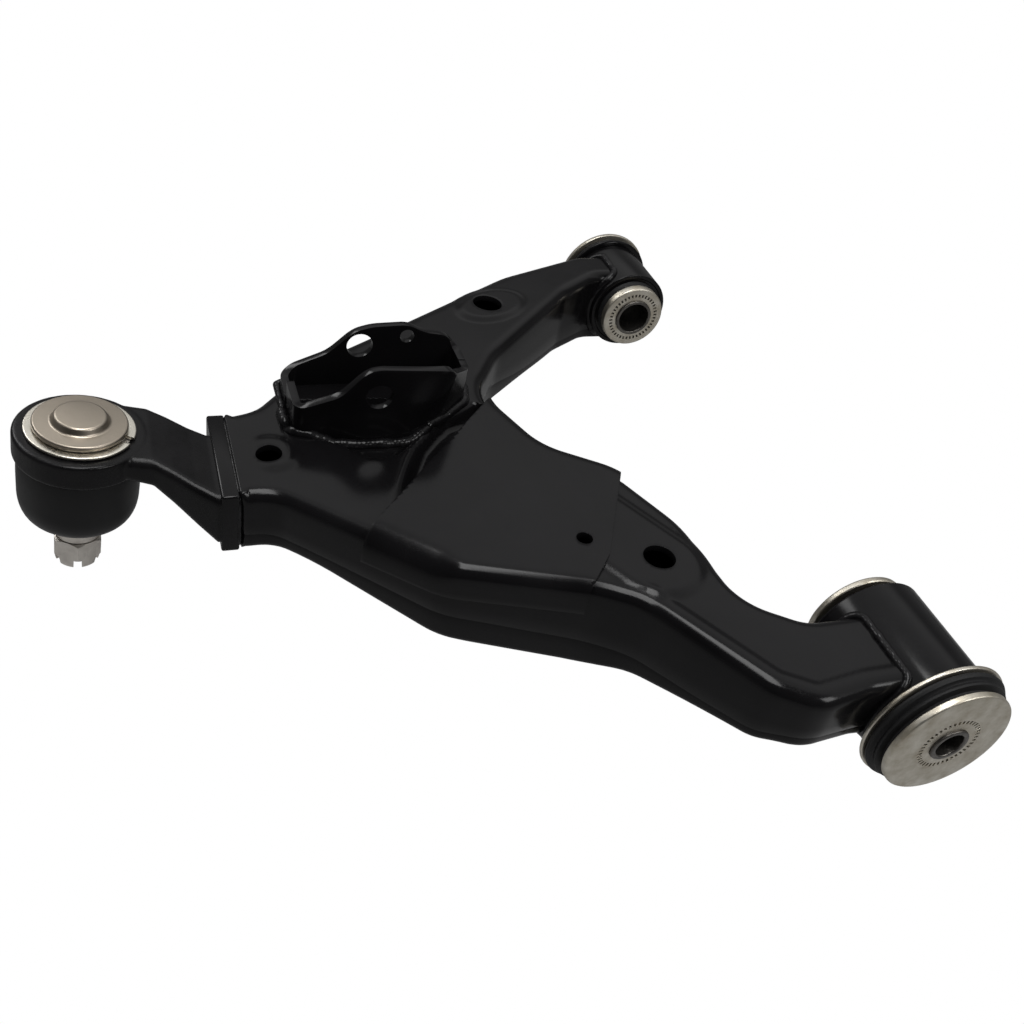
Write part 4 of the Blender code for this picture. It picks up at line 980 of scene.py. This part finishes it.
class ARM_OT_stage(bpy.types.Operator):
    """White floor and surroundings, soft panels and the camera"""
    bl_idname = "control_arm.stage"
    bl_label = "Stage"

    def execute(self, context):
        scene = context.scene
        settings = scene.arm_stage
        bpy.ops.object.select_all(action='DESELECT')
        bpy.ops.mesh.primitive_plane_add(size=settings.floor, location=FLOOR_PLACE)
        floor = named("stage_floor")
        floor.data.materials.append(self.floor_material())
        self.surroundings(scene)
        for name, place, size, power in (("overhead", (0.05, 0.25, 1.35), (0.5, 1.0), settings.overhead),
                                         ("side", (-0.75, -0.55, 0.85), (0.5, 0.5), settings.side),
                                         ("back", (0.95, 0.75, 0.8), (0.4, 0.4), 0.5 * settings.side)):
            bpy.ops.object.light_add(type='AREA', location=place)
            lamp = named("lamp_" + name)
            lamp.data.shape = 'RECTANGLE'
            lamp.data.size, lamp.data.size_y = size
            lamp.data.energy = power
            lamp.rotation_euler = (LAMP_TARGET - Vector(place)).to_track_quat('-Z', 'Y').to_euler()
        turn = Matrix((CAMERA_RIGHT, CAMERA_UP, CAMERA_BACK)).transposed().to_4x4()
        bpy.ops.object.camera_add()
        camera = named("camera")
        camera.matrix_world = Matrix.Translation(CAMERA_PLACE) @ turn
        camera.data.lens = LENS
        camera.data.sensor_width = SENSOR
        camera.data.clip_start = 0.01
        scene.camera = camera
        scene.view_settings.view_transform = 'Standard'
        return {'FINISHED'}

    def seen(self, tree, *kinds):
        """1 for rays of these kinds, which show the background."""
        path = add(tree, 'ShaderNodeLightPath')
        total = path.outputs[kinds[0]]
        for kind in kinds[1:]:
            either = add(tree, 'ShaderNodeMath', operation='MAXIMUM')
            tree.links.new(total, either.inputs[0])
            tree.links.new(path.outputs[kind], either.inputs[1])
            total = either.outputs[0]
        return total

    def floor_material(self):
        made = bpy.data.materials.new("Stage white")
        made.use_nodes = True
        tree = made.node_tree
        plain = tree.nodes["Principled BSDF"]
        place, along = add(tree, 'ShaderNodeTexCoord'), add(tree, 'ShaderNodeSeparateXYZ')
        tree.links.new(place.outputs["Object"], along.inputs[0])
        # Painted shade: the floor's grey darkens along its x, from under the arm's middle towards and past the
        # rear bush
        fade = add(tree, 'ShaderNodeMapRange', interpolation_type='SMOOTHSTEP')
        fade.inputs["From Min"].default_value = 0.0
        fade.inputs["From Max"].default_value = 0.25
        fade.inputs["To Min"].default_value = FLOOR_NEAR
        fade.inputs["To Max"].default_value = FLOOR_FAR_PAINTED_SHADE
        tree.links.new(along.outputs["X"], fade.inputs["Value"])
        tree.links.new(fade.outputs["Result"], plain.inputs["Base Color"])
        plain.inputs["Roughness"].default_value = 0.9
        bright = add(tree, 'ShaderNodeEmission')
        mix = add(tree, 'ShaderNodeMixShader')
        tree.links.new(self.seen(tree, "Is Camera Ray", "Is Transmission Ray"), mix.inputs[0])
        tree.links.new(plain.outputs[0], mix.inputs[1])
        tree.links.new(bright.outputs[0], mix.inputs[2])
        beneath, clear = add(tree, 'ShaderNodeNewGeometry'), add(tree, 'ShaderNodeBsdfTransparent')
        open_below = add(tree, 'ShaderNodeMixShader')
        tree.links.new(beneath.outputs["Backfacing"], open_below.inputs[0])
        tree.links.new(mix.outputs[0], open_below.inputs[1])
        tree.links.new(clear.outputs[0], open_below.inputs[2])
        tree.links.new(open_below.outputs[0], tree.nodes["Material Output"].inputs["Surface"])
        return made

    def surroundings(self, scene):
        world = bpy.data.worlds.new("Stage world")
        scene.world = world
        world.use_nodes = True
        tree = world.node_tree
        white = tree.nodes["Background"]
        tree.links.new(self.room(tree), white.inputs["Color"])
        soft = add(tree, 'ShaderNodeBackground')
        soft.inputs["Color"].default_value = (0.5, 0.5, 0.5, 1)
        mix = add(tree, 'ShaderNodeMixShader')
        tree.links.new(self.seen(tree, "Is Camera Ray", "Is Glossy Ray", "Is Transmission Ray"), mix.inputs[0])
        tree.links.new(soft.outputs[0], mix.inputs[1])
        tree.links.new(white.outputs[0], mix.inputs[2])
        tree.links.new(mix.outputs[0], tree.nodes["World Output"].inputs["Surface"])

    def room(self, tree):
        """White all round; mirrored rays see it fade to a dark horizon and a dark side behind the camera."""
        path = add(tree, 'ShaderNodeLightPath')
        place = add(tree, 'ShaderNodeTexCoord')
        toward = add(tree, 'ShaderNodeVectorMath', operation='DOT_PRODUCT')
        toward.inputs[1].default_value = CAMERA_BACK
        tree.links.new(place.outputs["Generated"], toward.inputs[0])
        shade = add(tree, 'ShaderNodeMapRange', interpolation_type='SMOOTHSTEP')
        shade.inputs["From Min"].default_value = 0.3
        shade.inputs["From Max"].default_value = 0.75
        tree.links.new(toward.outputs["Value"], shade.inputs["Value"])
        share = add(tree, 'ShaderNodeMath', operation='MULTIPLY')
        tree.links.new(path.outputs["Is Glossy Ray"], share.inputs[1])
        height = add(tree, 'ShaderNodeSeparateXYZ')
        tree.links.new(place.outputs["Generated"], height.inputs[0])
        fall = add(tree, 'ShaderNodeMapRange', interpolation_type='SMOOTHSTEP')
        fall.inputs["From Min"].default_value = 0.40
        fall.inputs["From Max"].default_value = 0.65
        fall.inputs["To Min"].default_value = 0.85
        fall.inputs["To Max"].default_value = 0.0
        tree.links.new(height.outputs["Z"], fall.inputs["Value"])
        most = add(tree, 'ShaderNodeMath', operation='MAXIMUM')
        tree.links.new(shade.outputs["Result"], most.inputs[0])
        tree.links.new(fall.outputs["Result"], most.inputs[1])
        tree.links.new(most.outputs[0], share.inputs[0])
        mix = add(tree, 'ShaderNodeMix', data_type='RGBA')
        mix.inputs["A"].default_value = (1, 1, 1, 1)
        mix.inputs["B"].default_value = (0.02, 0.02, 0.02, 1)
        tree.links.new(share.outputs[0], mix.inputs["Factor"])
        return mix.outputs["Result"]


class ARM_PT_panel(bpy.types.Panel):
    """Sidebar panel with the sizes, the colours and one button for each group of pieces"""
    bl_idname = "ARM_PT_panel"
    bl_label = "Control arm"
    bl_space_type = 'VIEW_3D'
    bl_region_type = 'UI'
    bl_category = "Control arm"

    def draw(self, context):
        for group in (context.scene.arm_sizes, context.scene.bush_sizes, context.scene.arm_finish,
                      context.scene.arm_stage):
            for key in group.__annotations__:
                self.layout.prop(group, key)
        for operator in OPERATORS:
            self.layout.operator(operator.bl_idname)


OPERATORS = (ARM_OT_pressings, ARM_OT_shock_bracket, ARM_OT_outer_end, ARM_OT_ball_joint, ARM_OT_bushes,
             ARM_OT_welds, ARM_OT_inner_pieces, ARM_OT_stage)
GROUPS = {"arm_sizes": ArmSizes, "bush_sizes": BushSizes, "arm_finish": ArmFinish, "arm_stage": StageLight}


def register():
    for kind in (*GROUPS.values(), *OPERATORS, ARM_PT_panel):
        bpy.utils.register_class(kind)
    for key, kind in GROUPS.items():
        setattr(bpy.types.Scene, key, PointerProperty(type=kind))


def unregister():
    for key in GROUPS:
        delattr(bpy.types.Scene, key)
    for kind in (ARM_PT_panel, *reversed(OPERATORS), *GROUPS.values()):
        bpy.utils.unregister_class(kind)


def main():
    register()
    make_finishes()
    bpy.ops.control_arm.pressings()
    bpy.ops.control_arm.shock_bracket()
    bpy.ops.control_arm.outer_end()
    bpy.ops.control_arm.ball_joint()
    bpy.ops.control_arm.bushes()
    bpy.ops.control_arm.welds()
    bpy.ops.control_arm.inner_pieces()
    bpy.ops.control_arm.stage()


if __name__ == "__main__":
    main()
